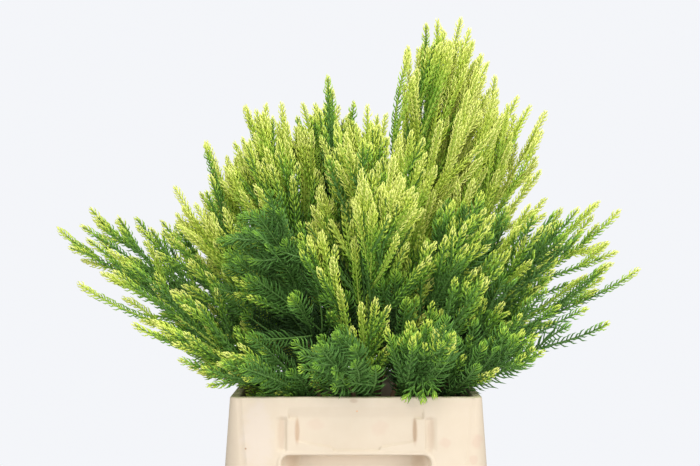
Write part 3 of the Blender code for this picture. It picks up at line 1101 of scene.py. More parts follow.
def bent_curve(root: Vector, start: Vector, end: Vector, length: float) -> Curve:
    """The curve of a shoot.

    Args:
        root: Where it starts.
        start: The unit direction in which it leaves.
        end: The unit direction in which it ends.
        length: Its length.

    Returns:
        Its control points.
    """
    middle = root + start * length * 0.45
    tip = middle + end * length * 0.55
    return root, root.lerp(middle, 2 / 3), tip.lerp(middle, 2 / 3), tip


def level_direction(azimuth: float) -> Vector:
    """The level unit vector at an azimuth in degrees, counted from +X towards +Y."""
    return Vector((math.cos(math.radians(azimuth)), math.sin(math.radians(azimuth)), 0.0))


def across(direction: Vector, hint: Vector) -> tuple[Vector, Vector]:
    """Two unit vectors at right angles to a direction and to each other, the first nearest to hint."""
    first = (hint - direction * hint.dot(direction)).normalized()
    return first, direction.cross(first)


@dataclass
class Shoot:
    """One shoot: its curve, its flat side, its tint, the share of it without needles, and its thickness."""

    ends: Curve
    hint: Vector
    gold: float
    bare: float
    root_radius: float
    tip_radius: float

    @property
    def length(self) -> float:
        """Its length, near enough."""
        a, b, c, d = self.ends
        return ((b - a).length + (c - b).length + (d - c).length + (d - a).length) / 2


@dataclass(frozen=True)
class SprayRule:
    """Where a spray grows on its leader, its turn round it, its angle from it, and its length."""

    share: float
    turn: float
    lean: float
    length: float


@dataclass
class BranchRule:
    """The rule that the source grows a branch by, from its foot in the tub to its side sprays.

    Each ring has its half width, its half depth and the azimuth of its first neck.
    """

    tub_height: float = 0.300
    rim_room: Span = (0.1175, 0.1675)
    rim_reach: Span = (0.1265, 0.1765)
    plume_reach: float = 0.98
    plume_sweep: float = 1.6
    plume_least: float = 0.45
    crown_slope: float = 0.75
    crown_start: float = 0.030
    rings: dict[Ring, Place] = field(
        default_factory=lambda: {
            Ring.OUTER: (0.091, 0.137, 8),
            Ring.MIDDLE: (0.058, 0.088, -10),
            Ring.INNER: (0.024, 0.042, 0),
        }
    )
    neck_below_rim: float = 0.020
    neck_rise: float = 0.55
    tip_rise: float = 0.12
    stem_pull: float = 0.10
    neck_pull: float = 0.34
    tip_pull: float = 0.30
    foot_spread: float = 0.62
    floor: float = 0.0053
    sprays: int = 13
    first_spray: float = 0.05
    spray_span: float = 0.87
    spray_crowding: float = 0.92
    spray_stray: float = 0.6
    lean_stray: float = 0.12
    turn_stray: float = 0.25
    reach_share: Span = (0.62, 0.98)
    end_of_start: float = 0.55
    end_of_leader: float = 0.45
    end_of_up: float = 0.22
    wide_angle: float = math.radians(47)
    narrow_angle: float = math.radians(25)
    spray_reach: float = 0.94
    shortest: float = 0.030
    clear: float = 0.005
    seed: int = 41

    def placed(self) -> Iterator[tuple[str, Ring, Branch, float]]:
        """Gives every branch its place: a ring's necks stand evenly spaced round it.

        Returns:
            Each branch's place in the nodes' names, its ring, the branch and its neck's azimuth.
        """
        for ring, (_, _, start) in self.rings.items():
            members = BRANCHES[ring]
            for order, branch in enumerate(members):
                yield f"{ring.value}_{order + 1:02d}", ring, branch, start + 360 * order / len(members)

    def curves(self, ring: Ring, branch: Branch, neck_azimuth: float) -> tuple[Curve, Curve]:
        """The stem and the leader of a branch.

        Args:
            ring: The ring that it stands in.
            branch: The branch.
            neck_azimuth: Where round its ring it passes the rim, in degrees.

        Returns:
            The control points from the tub's floor to the neck, and from the neck to the tip.
        """
        half_width, half_depth, _ = self.rings[ring]
        neck_side = level_direction(neck_azimuth)
        neck_height = self.tub_height - self.neck_below_rim
        neck = Vector((half_width * neck_side.x, half_depth * neck_side.y, neck_height))
        foot = Vector((neck.x * self.foot_spread, neck.y * self.foot_spread, self.floor))
        tip = level_direction(branch.azimuth) * branch.reach + UP * (self.tub_height + branch.height)
        run = tip - neck
        at_neck = (run.normalized() * self.neck_rise + UP * self.neck_rise).normalized()
        at_tip = (run.normalized() + UP * self.tip_rise).normalized()
        stem = (foot, foot + UP * self.stem_pull, neck - at_neck * self.stem_pull, neck)
        neck_handle = neck + at_neck * run.length * self.neck_pull
        return stem, (neck, neck_handle, tip - at_tip * run.length * self.tip_pull, tip)

    def side_curve(self, leader: Curve, rule: SprayRule, bend: Vector) -> tuple[Curve, Vector]:
        """A side spray's curve and flat side.

        Args:
            leader: The curve that it grows on.
            rule: The spray's rule.
            bend: Where its tip is drawn to.

        Returns:
            Its control points, and the direction across its flat side.
        """
        root, along = bezier(leader, rule.share), bezier_slope(leader, rule.share)
        first, second = across(along, UP)
        out = first * math.cos(rule.turn) + second * math.sin(rule.turn)
        start = (along * math.cos(rule.lean) + out * math.sin(rule.lean)).normalized()
        end = start * self.end_of_start + along * self.end_of_leader + UP * self.end_of_up + bend
        return bent_curve(root, start, end.normalized(), rule.length), along.cross(out).normalized()

    def spray_rules(self, leader: Curve, chance: random.Random) -> Iterator[SprayRule]:
        """Draws the side sprays of a leader as the source does.

        Args:
            leader: The leader's curve.
            chance: The source's draws.

        Returns:
            The rule of each spray.
        """
        run = (leader[3] - leader[0]).length
        first_turn = chance.uniform(0, math.tau)
        for order in range(self.sprays):
            place = ((order + chance.uniform(0, self.spray_stray)) / self.sprays) ** self.spray_crowding
            share = self.first_spray + self.spray_span * place
            stray = chance.uniform(-self.lean_stray, self.lean_stray)
            lean = mix(self.wide_angle, self.narrow_angle, share) + stray
            length = run * (self.spray_reach - share) * chance.uniform(*self.reach_share)
            stray = chance.uniform(-self.turn_stray, self.turn_stray)
            turn = first_turn + order * GOLDEN_ANGLE + stray
            yield SprayRule(share, turn, lean, length)

    def room(self, point: Vector) -> float:
        """How far a point lies from the tub's rim and from the walls below it.

        Args:
            point: The point.

        Returns:
            The distance.
        """
        above = max(point.z - self.tub_height, 0.0)
        inside = min(self.rim_room[0] - abs(point.x), self.rim_room[1] - abs(point.y))
        return math.hypot(above, max(inside, 0.0))

    def above_crown_floor(self, point: Vector, lift: float) -> bool:
        """Whether a point lies over the slope that the crown's underside rises by, with a lift over it."""
        over = [max(abs(place) - reach, 0.0) for place, reach in zip(point.xy, self.rim_reach)]
        return point.z - lift - self.tub_height > self.crown_slope * (math.hypot(*over) - self.crown_start)

    def in_plume(self, leader: Curve, tip: Vector) -> bool:
        """Whether a spray keeps inside its branch's plume, which narrows to the leader's tip.

        Args:
            leader: The leader's curve.
            tip: The spray's tip.

        Returns:
            True if it does.
        """
        run, reach = leader[3] - leader[0], tip - leader[0]
        share = self.plume_reach - self.plume_sweep * run.angle(reach) ** 2
        return reach.length < run.length * max(share, self.plume_least)

    def fits(self, ends: Curve, lift: float) -> bool:
        """Whether a curve keeps clear of the tub and of the crown's edges and openings.

        Args:
            ends: Its control points, of which the root is let be.
            lift: How far over the crown's underside it has to keep.

        Returns:
            True if it does.
        """
        points = [bezier(ends, share / 8) for share in range(1, 9)]
        if any(gap.holds(ends[3]) for gap in OPENINGS):
            return False
        return all(self.room(point) > self.clear and self.above_crown_floor(point, lift) for point in points)


@dataclass(frozen=True)
class NeedleFinish(Finish):
    """The waxy skin of one tint of needles, with the slot that they stand in and the space between two."""

    slot: str = "needles_fresh"
    spacing: float = 0.0014


NEEDLES = {
    tint: NeedleFinish(f"needles_{name}", colour, other, slot=f"needles_{slot}", spacing=spacing)
    for tint, name, colour, other, slot, spacing in (
        # The first row is painted shade: a green far darker than the deep one, worn by needles deep inside
        # the crown.
        (Tint.SHADE, "shaded_green", (0.022, 0.060, 0.013), (0.036, 0.090, 0.018), "deep", 0.00190),
        (Tint.DEEP, "deep_green", (0.072, 0.182, 0.033), (0.106, 0.245, 0.043), "deep", 0.00205),
        (Tint.MID, "mid_green", (0.108, 0.262, 0.037), (0.150, 0.320, 0.046), "deep", 0.00180),
        (Tint.FRESH, "fresh_green", (0.190, 0.400, 0.038), (0.255, 0.465, 0.050), "fresh", 0.00140),
        (Tint.LIME, "lime", (0.380, 0.600, 0.062), (0.480, 0.680, 0.082), "fresh", 0.00135),
        (Tint.YELLOW, "yellow", (0.620, 0.755, 0.098), (0.720, 0.815, 0.138), "golden", 0.00120),
        (Tint.CREAM, "pale_yellow", (0.810, 0.870, 0.185), (0.860, 0.900, 0.265), "golden", 0.00110),
    )
}

YOUTH_LIMITS = (
    (0.38, Tint.DEEP),
    (0.60, Tint.MID),
    (0.84, Tint.FRESH),
    (1.10, Tint.LIME),
    (1.42, Tint.YELLOW),
)


@dataclass
class Foliage:
    """All the branches: woody leaders, side sprays, fine shoots, and needles that pale to their tips.

    Each branch has the source's sprays and three kinds more, as many as its ring says: short fillers, long
    companions that lean close to the leader, and skirts that hang out low. A span from deep to golden gives a
    size of a deep green shoot and of a golden one.
    """

    rule: BranchRule = field(default_factory=BranchRule)
    fillers: dict[Ring, int] = field(default_factory=lambda: dict(zip(Ring, (1, 1, 0))))
    companions: dict[Ring, int] = field(default_factory=lambda: dict(zip(Ring, (1, 5, 11))))
    skirts: dict[Ring, int] = field(default_factory=lambda: dict(zip(Ring, (3, 3, 2))))
    order_stray: float = 0.9
    filler_shares: Span = (0.10, 0.84)
    filler_reach: Span = (0.45, 0.75)
    filler_least: float = 0.028
    filler_lean_stray: float = 0.15
    companion_shares: Span = (0.14, 0.56)
    companion_reach: Span = (0.80, 0.98)
    companion_turn_stray: float = 0.4
    companion_lean: Span = (8, 28)
    skirt_turn: Span = (-0.3, 1.2)
    skirt_share: float = 0.06
    skirt_gap: float = 0.05
    skirt_lean: Span = (22, 58)
    skirt_length: Span = (0.09, 0.17)
    stem_radii: Span = (0.0046, 0.0033)
    leader_radii: Span = (0.0033, 0.0018)
    leader_ends: Span = (0.0024, 0.0008)
    spray_ends: Span = (0.0016, 0.0009)
    spray_bend: float = 0.5
    spray_gold: Span = (0.55, 0.60)
    spray_gold_stray: Span = (-0.22, 0.20)
    spray_bare: float = 0.06
    shoot_bare: float = 0.03
    spire_bare: float = 0.02
    shoot_ends: Span = (0.0013, 0.0008)
    spire_ends: Span = (0.0018, 0.0009)
    spire_depth: Span = (-0.045, 0.035)
    spire_run: Span = (0.12, 0.16)
    spire_foot: Span = (0.72, 0.5)
    spire_bow: float = 0.010
    spire_shoots: tuple[float, ...] = (0.10, 0.22, 0.34, 0.46)
    sprig_ends: Span = (0.0013, 0.0007)
    sprig_gold: float = 0.25
    shoot_step: float = 0.0205
    step_stray: Span = (0.75, 1.25)
    deep_step: Span = (1.80, 1.10)
    golden_step: Span = (1.0, 1.5)
    fan_step: Span = (1.0, 2.6)
    first_shoot: float = 0.012
    last_shoot: float = 0.015
    shrink: float = 0.86
    least_share: float = 0.8
    longest_shoot: float = 0.105
    shortest_shoot: float = 0.020
    knot_step: float = 0.0060
    shoot_roll: float = 0.45
    shoot_reach: Span = (0.65, 1.0)
    shoot_gold_stray: float = 0.1
    shoot_thickness: Span = (1.0, 1.6)
    skin_hold: float = 0.8
    draw_at_root: float = 0.5
    draw_at_tip: float = 0.6
    deep_reach: float = 0.040
    golden_from: Span = (0.15, 0.50)
    palest_from: Span = (0.6, 0.9)
    deep_lean: Span = (34, 48)
    golden_lean: Span = (13, 28)
    edge_of_crown: Span = (0.17, 0.22)
    side_of_crown: Span = (0.15, 0.24)
    lift: float = 0.030
    spray_lift: float = 0.016
    most_needles: int = 18500
    most_knots: int = 31000
    pale_stalk_from: float = 0.62
    comb_below: float = 0.24
    comb_spread: float = 0.8
    rank_turn: float = math.radians(144)
    rank_spread: float = 0.45
    needle_width: float = 0.00080
    needle_length: Span = (0.0160, 0.0092)
    needle_lean: Span = (50, 34)
    grown_from_tip: Span = (0.017, 0.012)
    widening: Span = (1.15, 1.10)
    youngest_length: float = 0.0050
    youngest_lean: float = 14
    youngest_width: float = 0.90
    uneven: float = 0.12
    middle: Vector = field(default_factory=lambda: Vector((0.0, 0.0, 0.30)))
    youth_base: float = 0.12
    youth_of_gold: float = 0.80
    youth_of_palest: float = 0.18
    youth_at_tip: Span = (0.62, 1.10)
    fade: Span = (0.009, 0.058)
    # The crown's core, a middle and its reaches in metres, and the youth below which needles in it take the
    # painted-shade tint.
    painted_shade_core: tuple[Place, Place] = ((0.0, 0.0, 0.27), (0.150, 0.150, 0.190))
    painted_shade_youth: float = 0.50
    seed: int = 97
    first_spire_seed: int = 147

    def __post_init__(self) -> None:
        """Starts with no shoots."""
        self.shoots: list[Shoot] = []
        self.wood = Strands()
        self.nodes: list[str] = []
        self.stems: list[str] = []

    def grow_all(self) -> None:
        """Grows every branch by the rule, then the spires and the sprig over the rim."""
        for index, (place, ring, branch, neck_azimuth) in enumerate(self.rule.placed()):
            stem, leader = self.rule.curves(ring, branch, neck_azimuth)
            self.nodes.append(f"foliage_{place}")
            self.stems.append(f"stem_{place}")
            self.add_wood(stem, leader)
            source_draws, more = random.Random(self.rule.seed + index), random.Random(self.seed + index)
            self.grow_branch(ring, branch, leader, source_draws, more)
        for order, spire in enumerate(SPIRES):
            self.grow_spire(spire, random.Random(self.first_spire_seed + order))
        for ends in OVER_RIM:
            self.shoots.append(Shoot(ends, Vector((1.0, 0.0, 0.0)), self.sprig_gold, 0.0, *self.sprig_ends))

    def add_wood(self, stem: Curve, leader: Curve) -> None:
        """Adds the woody part of a branch, from its cut foot to where its leader turns green.

        Args:
            stem: The curve up to the neck.
            leader: The curve from there to the tip.
        """
        low, high = [k / 60 for k in range(61)], [k / 70 for k in range(1, 22)]
        places = [bezier(stem, share) for share in low] + [bezier(leader, share) for share in high]
        thickness = [mix(*self.stem_radii, share) for share in low]
        thickness += [mix(*self.leader_radii, share / 0.3) for share in high]
        self.wood.add(places, thickness=thickness)

    def more_rules(self, ring: Ring, run: float, more: random.Random) -> Iterator[SprayRule]:
        """The rules of the fillers, companions and skirts of a branch.

        Args:
            ring: The ring that it stands in.
            run: How far its leader runs.
            more: The draws for what this script adds.

        Returns:
            The rules, in the order of their draws.
        """
        fillers, companions = self.fillers[ring], self.companions[ring]
        first, span = self.filler_shares
        for order in range(fillers):
            share = first + span * (order + more.uniform(0, self.order_stray)) / fillers
            stray = more.uniform(-self.filler_lean_stray, self.filler_lean_stray)
            lean = mix(self.rule.wide_angle, self.rule.narrow_angle, share) + stray
            length = max(run * (1.0 - share) * more.uniform(*self.filler_reach), self.filler_least)
            yield SprayRule(share, more.uniform(0, math.tau), lean, length)
        first, span = self.companion_shares
        for order in range(companions):
            share = first + span * (order + more.uniform(0, self.order_stray)) / companions
            length = run * (1.0 - share) * more.uniform(*self.companion_reach)
            stray = more.uniform(-self.companion_turn_stray, self.companion_turn_stray)
            turn = order * GOLDEN_ANGLE + stray
            yield SprayRule(share, turn, angle_between(self.companion_lean, more), length)
        for order in range(self.skirts[ring]):
            turn = (math.pi / 2 + more.uniform(*self.skirt_turn)) * (1 if order % 2 else -1)
            lean = angle_between(self.skirt_lean, more)
            share = self.skirt_share + self.skirt_gap * order
            yield SprayRule(share, turn, lean, more.uniform(*self.skirt_length))

    def grow_branch(
        self, ring: Ring, branch: Branch, leader: Curve, source_draws: random.Random, more: random.Random
    ) -> None:
        """Grows one branch's sprays and shoots.

        Args:
            ring: The ring that it stands in.
            branch: The branch.
            leader: Its leader's curve.
            source_draws: The draws that the source makes, in its order.
            more: The draws for what this script adds.
        """
        flat = leader[3].cross(UP).normalized()
        self.shoots.append(Shoot(leader, flat, branch.gold, self.spray_bare, *self.leader_ends))
        rules = list(self.rule.spray_rules(leader, source_draws))
        rules += list(self.more_rules(ring, (leader[3] - leader[0]).length, more))
        for rule in rules:
            self.grow_spray(branch, leader, rule, more)

    def grow_spray(self, branch: Branch, leader: Curve, rule: SprayRule, more: random.Random) -> None:
        """Grows one spray with its fine shoots, shortened until it clears the tub.

        Args:
            branch: The branch.
            leader: Its leader's curve.
            rule: The spray's rule.
            more: The draws for what this script adds.
        """
        draw = Vector(branch.draw)
        bend = (draw - PLAIN_DRAW) * self.spray_bend
        while rule.length >= self.rule.shortest * self.least_share:
            ends, hint = self.rule.side_curve(leader, rule, bend)
            lift = self.spray_lift * ramp(math.hypot(ends[3].x, ends[3].y), *self.edge_of_crown)
            if self.rule.in_plume(leader, ends[3]) and self.rule.fits(ends, lift):
                break
            rule = replace(rule, length=rule.length * self.shrink)
        else:
            return
        at_root, along_leader = self.spray_gold
        gold = branch.gold * (at_root + along_leader * rule.share) + more.uniform(*self.spray_gold_stray)
        spray = Shoot(ends, hint, gold, self.spray_bare, *self.spray_ends)
        self.shoots.append(spray)
        place, side = self.first_shoot, 1
        step = self.shoot_step * mix(*self.deep_step, ramp(gold, *self.golden_from))
        step *= mix(*self.golden_step, ramp(gold, *self.palest_from))
        step *= mix(*self.fan_step, ramp(abs(ends[3].x), *self.side_of_crown))
        while place < rule.length - self.last_shoot:
            self.grow_shoot(spray, place, side, rule.length, draw, more)
            place += step * more.uniform(*self.step_stray)
            side = -side

    def grow_spire(self, spire: Spire, more: random.Random) -> None:
        """Grows one spire with a few side shoots.

        Args:
            spire: The spire.
            more: The draws for its depth, its length and its side shoots.
        """
        tip = Vector((spire.x, more.uniform(*self.spire_depth), spire.z))
        foot_x, foot_y = self.spire_foot
        root = Vector((tip.x * foot_x, tip.y * foot_y, tip.z - more.uniform(*self.spire_run)))
        bow = Vector((more.uniform(-self.spire_bow, self.spire_bow), 0.0, 0.0))
        ends = (root, root.lerp(tip, 1 / 3) + bow, root.lerp(tip, 2 / 3) + bow, tip)
        flat = Vector((math.sin(more.uniform(-0.5, 0.5)), 1.0, 0.0)).normalized()
        shoot = Shoot(ends, flat, spire.gold, self.spire_bare, *self.spire_ends)
        self.shoots.append(shoot)
        length = (tip - root).length
        for order, share in enumerate(self.spire_shoots):
            self.grow_shoot(shoot, share * length, 1 if order % 2 else -1, length, PLAIN_DRAW, more)

    def grow_shoot(
        self, spray: Shoot, place: float, side: int, length: float, draw: Vector, more: random.Random
    ) -> None:
        """Grows one fine shoot on a spray.

        Args:
            spray: The spray.
            place: How far along the spray it grows.
            side: 1 or -1, the side of the spray.
            length: The spray's length.
            draw: The way that the branch's deep shoots are drawn.
            more: The draws for what this script adds.
        """
        share = place / length
        root, along = bezier(spray.ends, share), bezier_slope(spray.ends, share)
        flat, over = across(along, spray.hint)
        turn = more.uniform(-self.shoot_roll, self.shoot_roll)
        out = flat * (side * math.cos(turn)) + over * math.sin(turn)
        golden = ramp(spray.gold, *self.golden_from)
        reach = max(length - place, mix(self.deep_reach, 0.0, golden)) * more.uniform(*self.shoot_reach)
        reach = min(reach, self.longest_shoot)
        if reach < self.shortest_shoot:
            return
        lean = math.radians(mix(more.uniform(*self.deep_lean), more.uniform(*self.golden_lean), golden))
        start = along * math.cos(lean) + out * math.sin(lean)
        outwards = Vector((root.x, root.y, 0.0)).normalized()
        start -= outwards * (start.dot(outwards) * self.skin_hold * (1 - golden))
        start = (start + draw * self.draw_at_root * (1 - golden)).normalized()
        drawn = draw * self.draw_at_tip * (1 - golden)
        end = (start * 0.65 + along * 0.35 + UP * 0.10 + drawn).normalized()
        curve = bent_curve(root, start, end, reach)
        lift = self.lift * ramp(math.hypot(curve[3].x, curve[3].y), *self.edge_of_crown)
        if not self.rule.fits(curve, lift):
            return
        thick = mix(*self.shoot_thickness, golden)
        gold = spray.gold + more.uniform(-self.shoot_gold_stray, self.shoot_gold_stray)
        radii = [radius * thick for radius in self.shoot_ends]
        self.shoots.append(Shoot(curve, out.cross(along), gold, self.shoot_bare, *radii))

    def tint(self, gold: float, from_tip: float, place: Vector) -> Tint:
        """The tint of the needles at a place, with painted shade for old needles deep inside the crown.

        Args:
            gold: The shoot's gold.
            from_tip: The distance from the shoot's tip.
            place: The place.

        Returns:
            The tint.
        """
        fade = self.fade[0] + self.fade[1] * max(gold, 0.0) ** 2
        young = mix(*self.youth_at_tip, ramp(gold, 0.05, 0.45)) * math.exp(-from_tip / fade)
        youth = self.youth_base + self.youth_of_gold * max(gold - 0.1, 0.0) ** 1.2 + young
        youth += self.youth_of_palest * ramp(gold, 0.90, 1.15)
        # Painted shade: old needles inside the crown's core take the darkest tint.
        spread = [(value - middle) / reach for value, middle, reach in zip(place, *self.painted_shade_core)]
        if youth < self.painted_shade_youth and math.hypot(*spread) < 1:
            return Tint.SHADE
        return next((tint for limit, tint in YOUTH_LIMITS if youth < limit), Tint.CREAM)

    def strands(self) -> tuple[dict[Tint, list[Strands]], dict[Twig, list[Strands]]]:
        """Sorts the shoots into strands of one tint, in lots that keep to the most needles of a piece.

        Returns:
            The lots of needle strands by tint, and of stalks by their skin.
        """
        needles: dict[Tint, list[Strands]] = {tint: [Strands()] for tint in Tint}
        twigs: dict[Twig, list[Strands]] = {twig: [Strands()] for twig in Twig}
        for shoot in self.shoots:
            count = max(3, round(shoot.length / self.knot_step))
            shares = [k / count for k in range(count + 1)]
            places = [bezier(shoot.ends, share) for share in shares]
            from_tip = [(1 - share) * shoot.length for share in shares]
            lots = twigs[Twig.PALE if shoot.gold > self.pale_stalk_from else Twig.GREEN]
            if len(lots[-1].places) > self.most_knots:
                lots.append(Strands())
            radii = [mix(shoot.root_radius, shoot.tip_radius, share) for share in shares]
            lots[-1].add(places, thickness=radii)
            slopes = [bezier_slope(shoot.ends, share) for share in shares]
            values = self.needle_values(shoot, places, slopes, from_tip)
            tints = [self.tint(shoot.gold, from_tip[k + 1], places[k]) for k in range(count)]
            start = round(shoot.bare * count)
            while start < count:
                end = start + 1
                while end < count and tints[end] is tints[start]:
                    end += 1
                lots = needles[tints[start]]
                if lots[-1].length > self.most_needles * NEEDLES[tints[start]].spacing:
                    lots.append(Strands())
                span = slice(start, end + 1)
                lots[-1].add(places[span], **{label: row[span] for label, row in values.items()})
                start = end
        return needles, twigs

    def needle_values(
        self, shoot: Shoot, places: list[Vector], slopes: list[Vector], from_tip: list[float]
    ) -> dict[str, list]:
        """The needles' direction, ranks, lean, length and width at the points of a shoot.

        Needles stand in five ranks round a golden shoot, and like a comb, flat to the crown's skin, on a deep
        one.

        Args:
            shoot: The shoot.
            places: Its points.
            slopes: Its directions there.
            from_tip: Their distances from its tip.

        Returns:
            One list for each attribute.
        """
        golden = ramp(shoot.gold, 0.08, 0.42)
        full, wide = mix(*self.needle_length, golden), mix(*self.needle_lean, golden)
        grown = [min(distance / mix(*self.grown_from_tip, golden), 1.0) ** 0.65 for distance in from_tip]
        combed = shoot.gold < self.comb_below
        return {
            "along": slopes,
            "flat": [slope.cross(place - self.middle).normalized() for slope, place in zip(slopes, places)],
            "turn": [math.pi if combed else self.rank_turn] * len(places),
            "spread": [self.comb_spread if combed else self.rank_spread] * len(places),
            "lean": [math.radians(mix(self.youngest_lean, wide, share)) for share in grown],
            "needle_length": [mix(self.youngest_length, full, share) for share in grown],
            "needle_width": [
                self.needle_width * mix(self.youngest_width, 1.0, share) * mix(*self.widening, golden)
                for share in grown
            ],
        }


def one_needle() -> bpy.types.Object:
    """One needle: three-sided, as wide to its last third, its tip bent inwards.

    Returns:
        The needle, of unit length and width.
    """
    sides = [math.radians(degrees) for degrees in (90, 210, 330)]
    root = [Vector((0.80 * math.cos(a), 0.80 * math.sin(a), 0.0)) for a in sides]
    ring = [Vector((math.cos(a), math.sin(a) - 1.3, 0.62)) for a in sides]
    faces = [(2, 1, 0), (0, 1, 4, 3), (1, 2, 5, 4), (2, 0, 3, 5), (3, 4, 6), (4, 5, 6), (5, 3, 6)]
    return new_object("one_needle", [*root, *ring, Vector((0.0, 0.9, 1.0))], faces)


@dataclass
class Bunch:
    """Dresses the grown branches: bark on the stems, stalks on the shoots, and needles on the stalks."""

    foliage: Foliage
    bark: BarkFinish = BarkFinish("bark_red_brown", (0.11, 0.062, 0.034), (0.24, 0.15, 0.08))
    green: StalkFinish = StalkFinish("stalk_green", (0.085, 0.195, 0.036), (0.12, 0.25, 0.044))
    pale: StalkFinish = StalkFinish("stalk_pale", (0.40, 0.56, 0.07), (0.50, 0.64, 0.10))

    def build(self, effects: Effects) -> None:
        """Makes and dresses every piece of the bunch.

        Args:
            effects: The shared shader groups.
        """
        needle_lots, twig_lots = self.foliage.strands()
        stalks, needles = stalk_tree(), needle_tree()
        wood = self.foliage.wood.object("stems_and_leaders")
        values = {"Sides": 9, "Relief": 0.35, "Relief Scale": 420.0, "Material": self.bark.material(effects)}
        take_over(grow(wood, stalks, values), "bark", self.foliage.stems)
        for twig, finish, slot in (
            (Twig.GREEN, self.green, "needles_fresh"),
            (Twig.PALE, self.pale, "needles_golden"),
        ):
            values = {"Sides": 3, "Relief": 0.0, "Relief Scale": 100.0, "Material": finish.material(effects)}
            for order, strands in enumerate(twig_lots[twig]):
                obj = strands.object(f"stalks_{twig.value}_{order + 1}")
                take_over(grow(obj, stalks, values), slot, self.foliage.nodes)
        pattern = one_needle()
        for tint, lots in needle_lots.items():
            finish = NEEDLES[tint]
            values = {"Needle": pattern, "Spacing": finish.spacing, "Uneven": self.foliage.uneven}
            values |= {"Material": finish.material(effects)}
            for order, strands in enumerate(lots):
                obj = strands.object(f"needles_{tint.value}_{order + 1}")
                take_over(grow(obj, needles, values), finish.slot, self.foliage.nodes)
        bpy.data.objects.remove(pattern)


@dataclass(frozen=True)
class Lamp:
    """A square soft light that looks at the bunch: its place, its side length and its power in watts."""

    name: str
    place: Place
    size: float
    power: float


@dataclass
class Studio:
    """A pale floor and backdrop, soft lights, and the photograph's camera."""

    camera_place: Place = (-0.006, -1.8765, 0.45)
    camera_tilt: float = 0.472
    lens: float = 87.43
    look_at: Place = (0.0, 0.0, 0.42)
    floor_radius: float = 1.5
    floor_sides: int = 96
    backdrop: Colour = (0.905, 0.918, 0.950)
    ambient: Colour = (0.28, 0.29, 0.305)
    lamps: tuple[Lamp, ...] = (
        Lamp("key", (-1.2, -1.9, 2.0), 1.8, 38.0),
        Lamp("front", (0.1, -2.4, 0.6), 0.8, 11.0),
        Lamp("fill", (1.7, -1.3, 1.2), 1.6, 27.0),
        Lamp("top", (0.3, -0.2, 2.4), 1.4, 38.0),
    )

    def build(self) -> None:
        """Builds the floor, the backdrop, the lights and the camera."""
        self.build_floor()
        self.build_world()
        for lamp in self.lamps:
            self.build_light(lamp)
        self.build_camera()
        bpy.context.scene.view_settings.view_transform = "Standard"

    def build_floor(self) -> None:
        """A round floor under the tub."""
        sides = range(self.floor_sides)
        ring = [level_direction(360 * k / self.floor_sides) * self.floor_radius for k in sides]
        floor = new_object("studio_floor", ring, [tuple(sides)])
        floor.data.materials.append(FloorFinish().material())
        floor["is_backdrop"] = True

    def build_world(self) -> None:
        """A pale backdrop that the camera sees brighter than it lights."""
        world = bpy.data.worlds.new("studio")
        world.use_nodes = True
        bpy.context.scene.world = world
        bench = Bench(world.node_tree)
        seen = bench.add("ShaderNodeLightPath").outputs["Is Camera Ray"]
        colour = bench.blend(seen, (*self.ambient, 1.0), (*self.backdrop, 1.0))
        bench.feed(world.node_tree.nodes["Background"], "Color", colour)

    def build_light(self, lamp: Lamp) -> None:
        """Adds a lamp to the scene.

        Args:
            lamp: The lamp.
        """
        light = bpy.data.lights.new(lamp.name, "AREA")
        light.shape = "SQUARE"
        light.size = lamp.size
        light.energy = lamp.power
        obj = bpy.data.objects.new(lamp.name, light)
        obj.location = lamp.place
        obj.rotation_euler = (Vector(self.look_at) - Vector(lamp.place)).to_track_quat("-Z", "Y").to_euler()
        bpy.context.scene.collection.objects.link(obj)

    def build_camera(self) -> None:
        """The photograph's camera."""
        camera = bpy.data.cameras.new("camera")
        camera.lens = self.lens
        obj = bpy.data.objects.new("camera", camera)
        obj.location = self.camera_place
        obj.rotation_euler = (math.radians(90 + self.camera_tilt), 0.0, 0.0)
        bpy.context.scene.collection.objects.link(obj)
        bpy.context.scene.camera = obj


PINK = (0.62, 0.44, 0.33)
WATER = (0.67, 0.575, 0.49)
BROWN = (0.36, 0.20, 0.10)
RUST = (0.80, 0.36, 0.12)
# Painted shade: a warm dark brown laid in the face's creases, grooves and pocket ends.
PAINTED_SHADOW = (0.47, 0.285, 0.165)
# Painted highlight: a pale cream laid on the hand pocket's back.
PAINTED_HIGHLIGHT = (0.82, 0.70, 0.55)
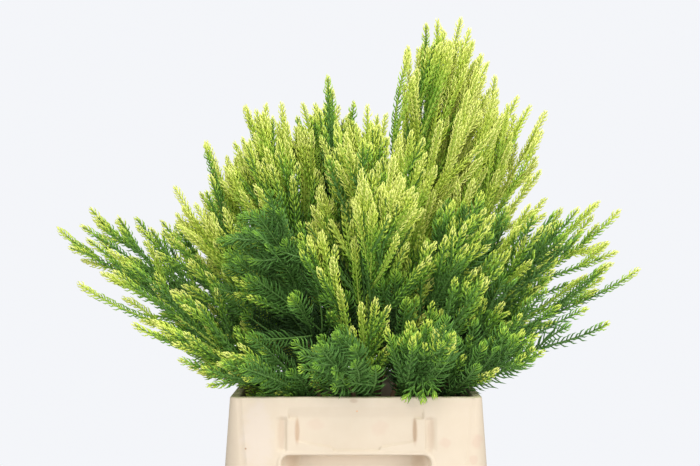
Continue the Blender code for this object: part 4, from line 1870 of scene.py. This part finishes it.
# The tub's real stains, then its patches of painted shade and painted highlight.
STAINS_AND_PAINTED_LIGHT = (
    StainOrPaintedLight((-0.098, -0.185, 0.262), (0.017, 0.03, 0.045), WATER, 0.55),
    StainOrPaintedLight((0.089, -0.182, 0.255), (0.006, 0.03, 0.006), PINK, 0.40),
    StainOrPaintedLight((0.121, -0.182, 0.256), (0.007, 0.03, 0.009), PINK, 0.45),
    StainOrPaintedLight((0.117, -0.184, 0.238), (0.005, 0.03, 0.005), PINK, 0.40),
    StainOrPaintedLight((-0.040, -0.180, 0.273), (0.011, 0.03, 0.007), PINK, 0.30),
    StainOrPaintedLight((0.024, -0.180, 0.269), (0.010, 0.03, 0.009), PINK, 0.30),
    StainOrPaintedLight((-0.110, -0.185, 0.249), (0.0012, 0.03, 0.0012), BROWN, 0.80, 0.4),
    StainOrPaintedLight((0.001, -0.176, 0.286), (0.0010, 0.03, 0.0010), RUST, 0.70, 0.4),
    # Painted shade in the creases at the card recess's sides.
    *(StainOrPaintedLight((x, -0.180, 0.266), (0.0030, 0.03, 0.0150), PAINTED_SHADOW, 0.55, 0.25) for x in (-0.0588, 0.0588)),
    # Painted shade in the grooves beside the card recess.
    *(StainOrPaintedLight((x, -0.180, 0.264), (0.0045, 0.03, 0.0190), PAINTED_SHADOW, 0.25, 0.4) for x in (-0.0745, 0.0745)),
    # Painted highlight on the hand pocket's back.
    StainOrPaintedLight((0.0, -0.156, 0.222), (0.062, 0.012, 0.060), PAINTED_HIGHLIGHT, 0.85, 0.3),
    # Painted shade at the hand pocket's ends.
    *(StainOrPaintedLight((x, -0.160, 0.222), (0.018, 0.016, 0.060), PAINTED_SHADOW, 0.30, 0.3) for x in (-0.0745, 0.0745)),
    StainOrPaintedLight((-0.002, -0.178, 0.2965), (0.0045, 0.03, 0.0025), BROWN, 0.30, 0.8),
    StainOrPaintedLight((0.060, 0.185, 0.270), (0.020, 0.03, 0.030), WATER, 0.50),
    StainOrPaintedLight((-0.085, 0.185, 0.255), (0.009, 0.03, 0.008), PINK, 0.40),
)


def write_size() -> None:
    """Works out the CAD model's box and the visual model's box, and does nothing more with them."""
    boxes = {"cad": CAD_BOX, "visual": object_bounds()}
    {name: [list(corner) for corner in box] for name, box in boxes.items()}


def main() -> None:
    """Builds the tub, the branches and the studio."""
    logging.basicConfig(level=logging.INFO, format="%(message)s")
    effects = Effects()
    tub = FlowerTub(finish=PlasticFinish(stains_and_painted_light=STAINS_AND_PAINTED_LIGHT))
    tub.dress(tub.build(), effects)
    foliage = Foliage()
    foliage.grow_all()
    log.info("%d shoots, %.1f m", len(foliage.shoots), sum(shoot.length for shoot in foliage.shoots))
    Bunch(foliage).build(effects)
    Studio().build()
    write_size()


if __name__ == "__main__":
    main()
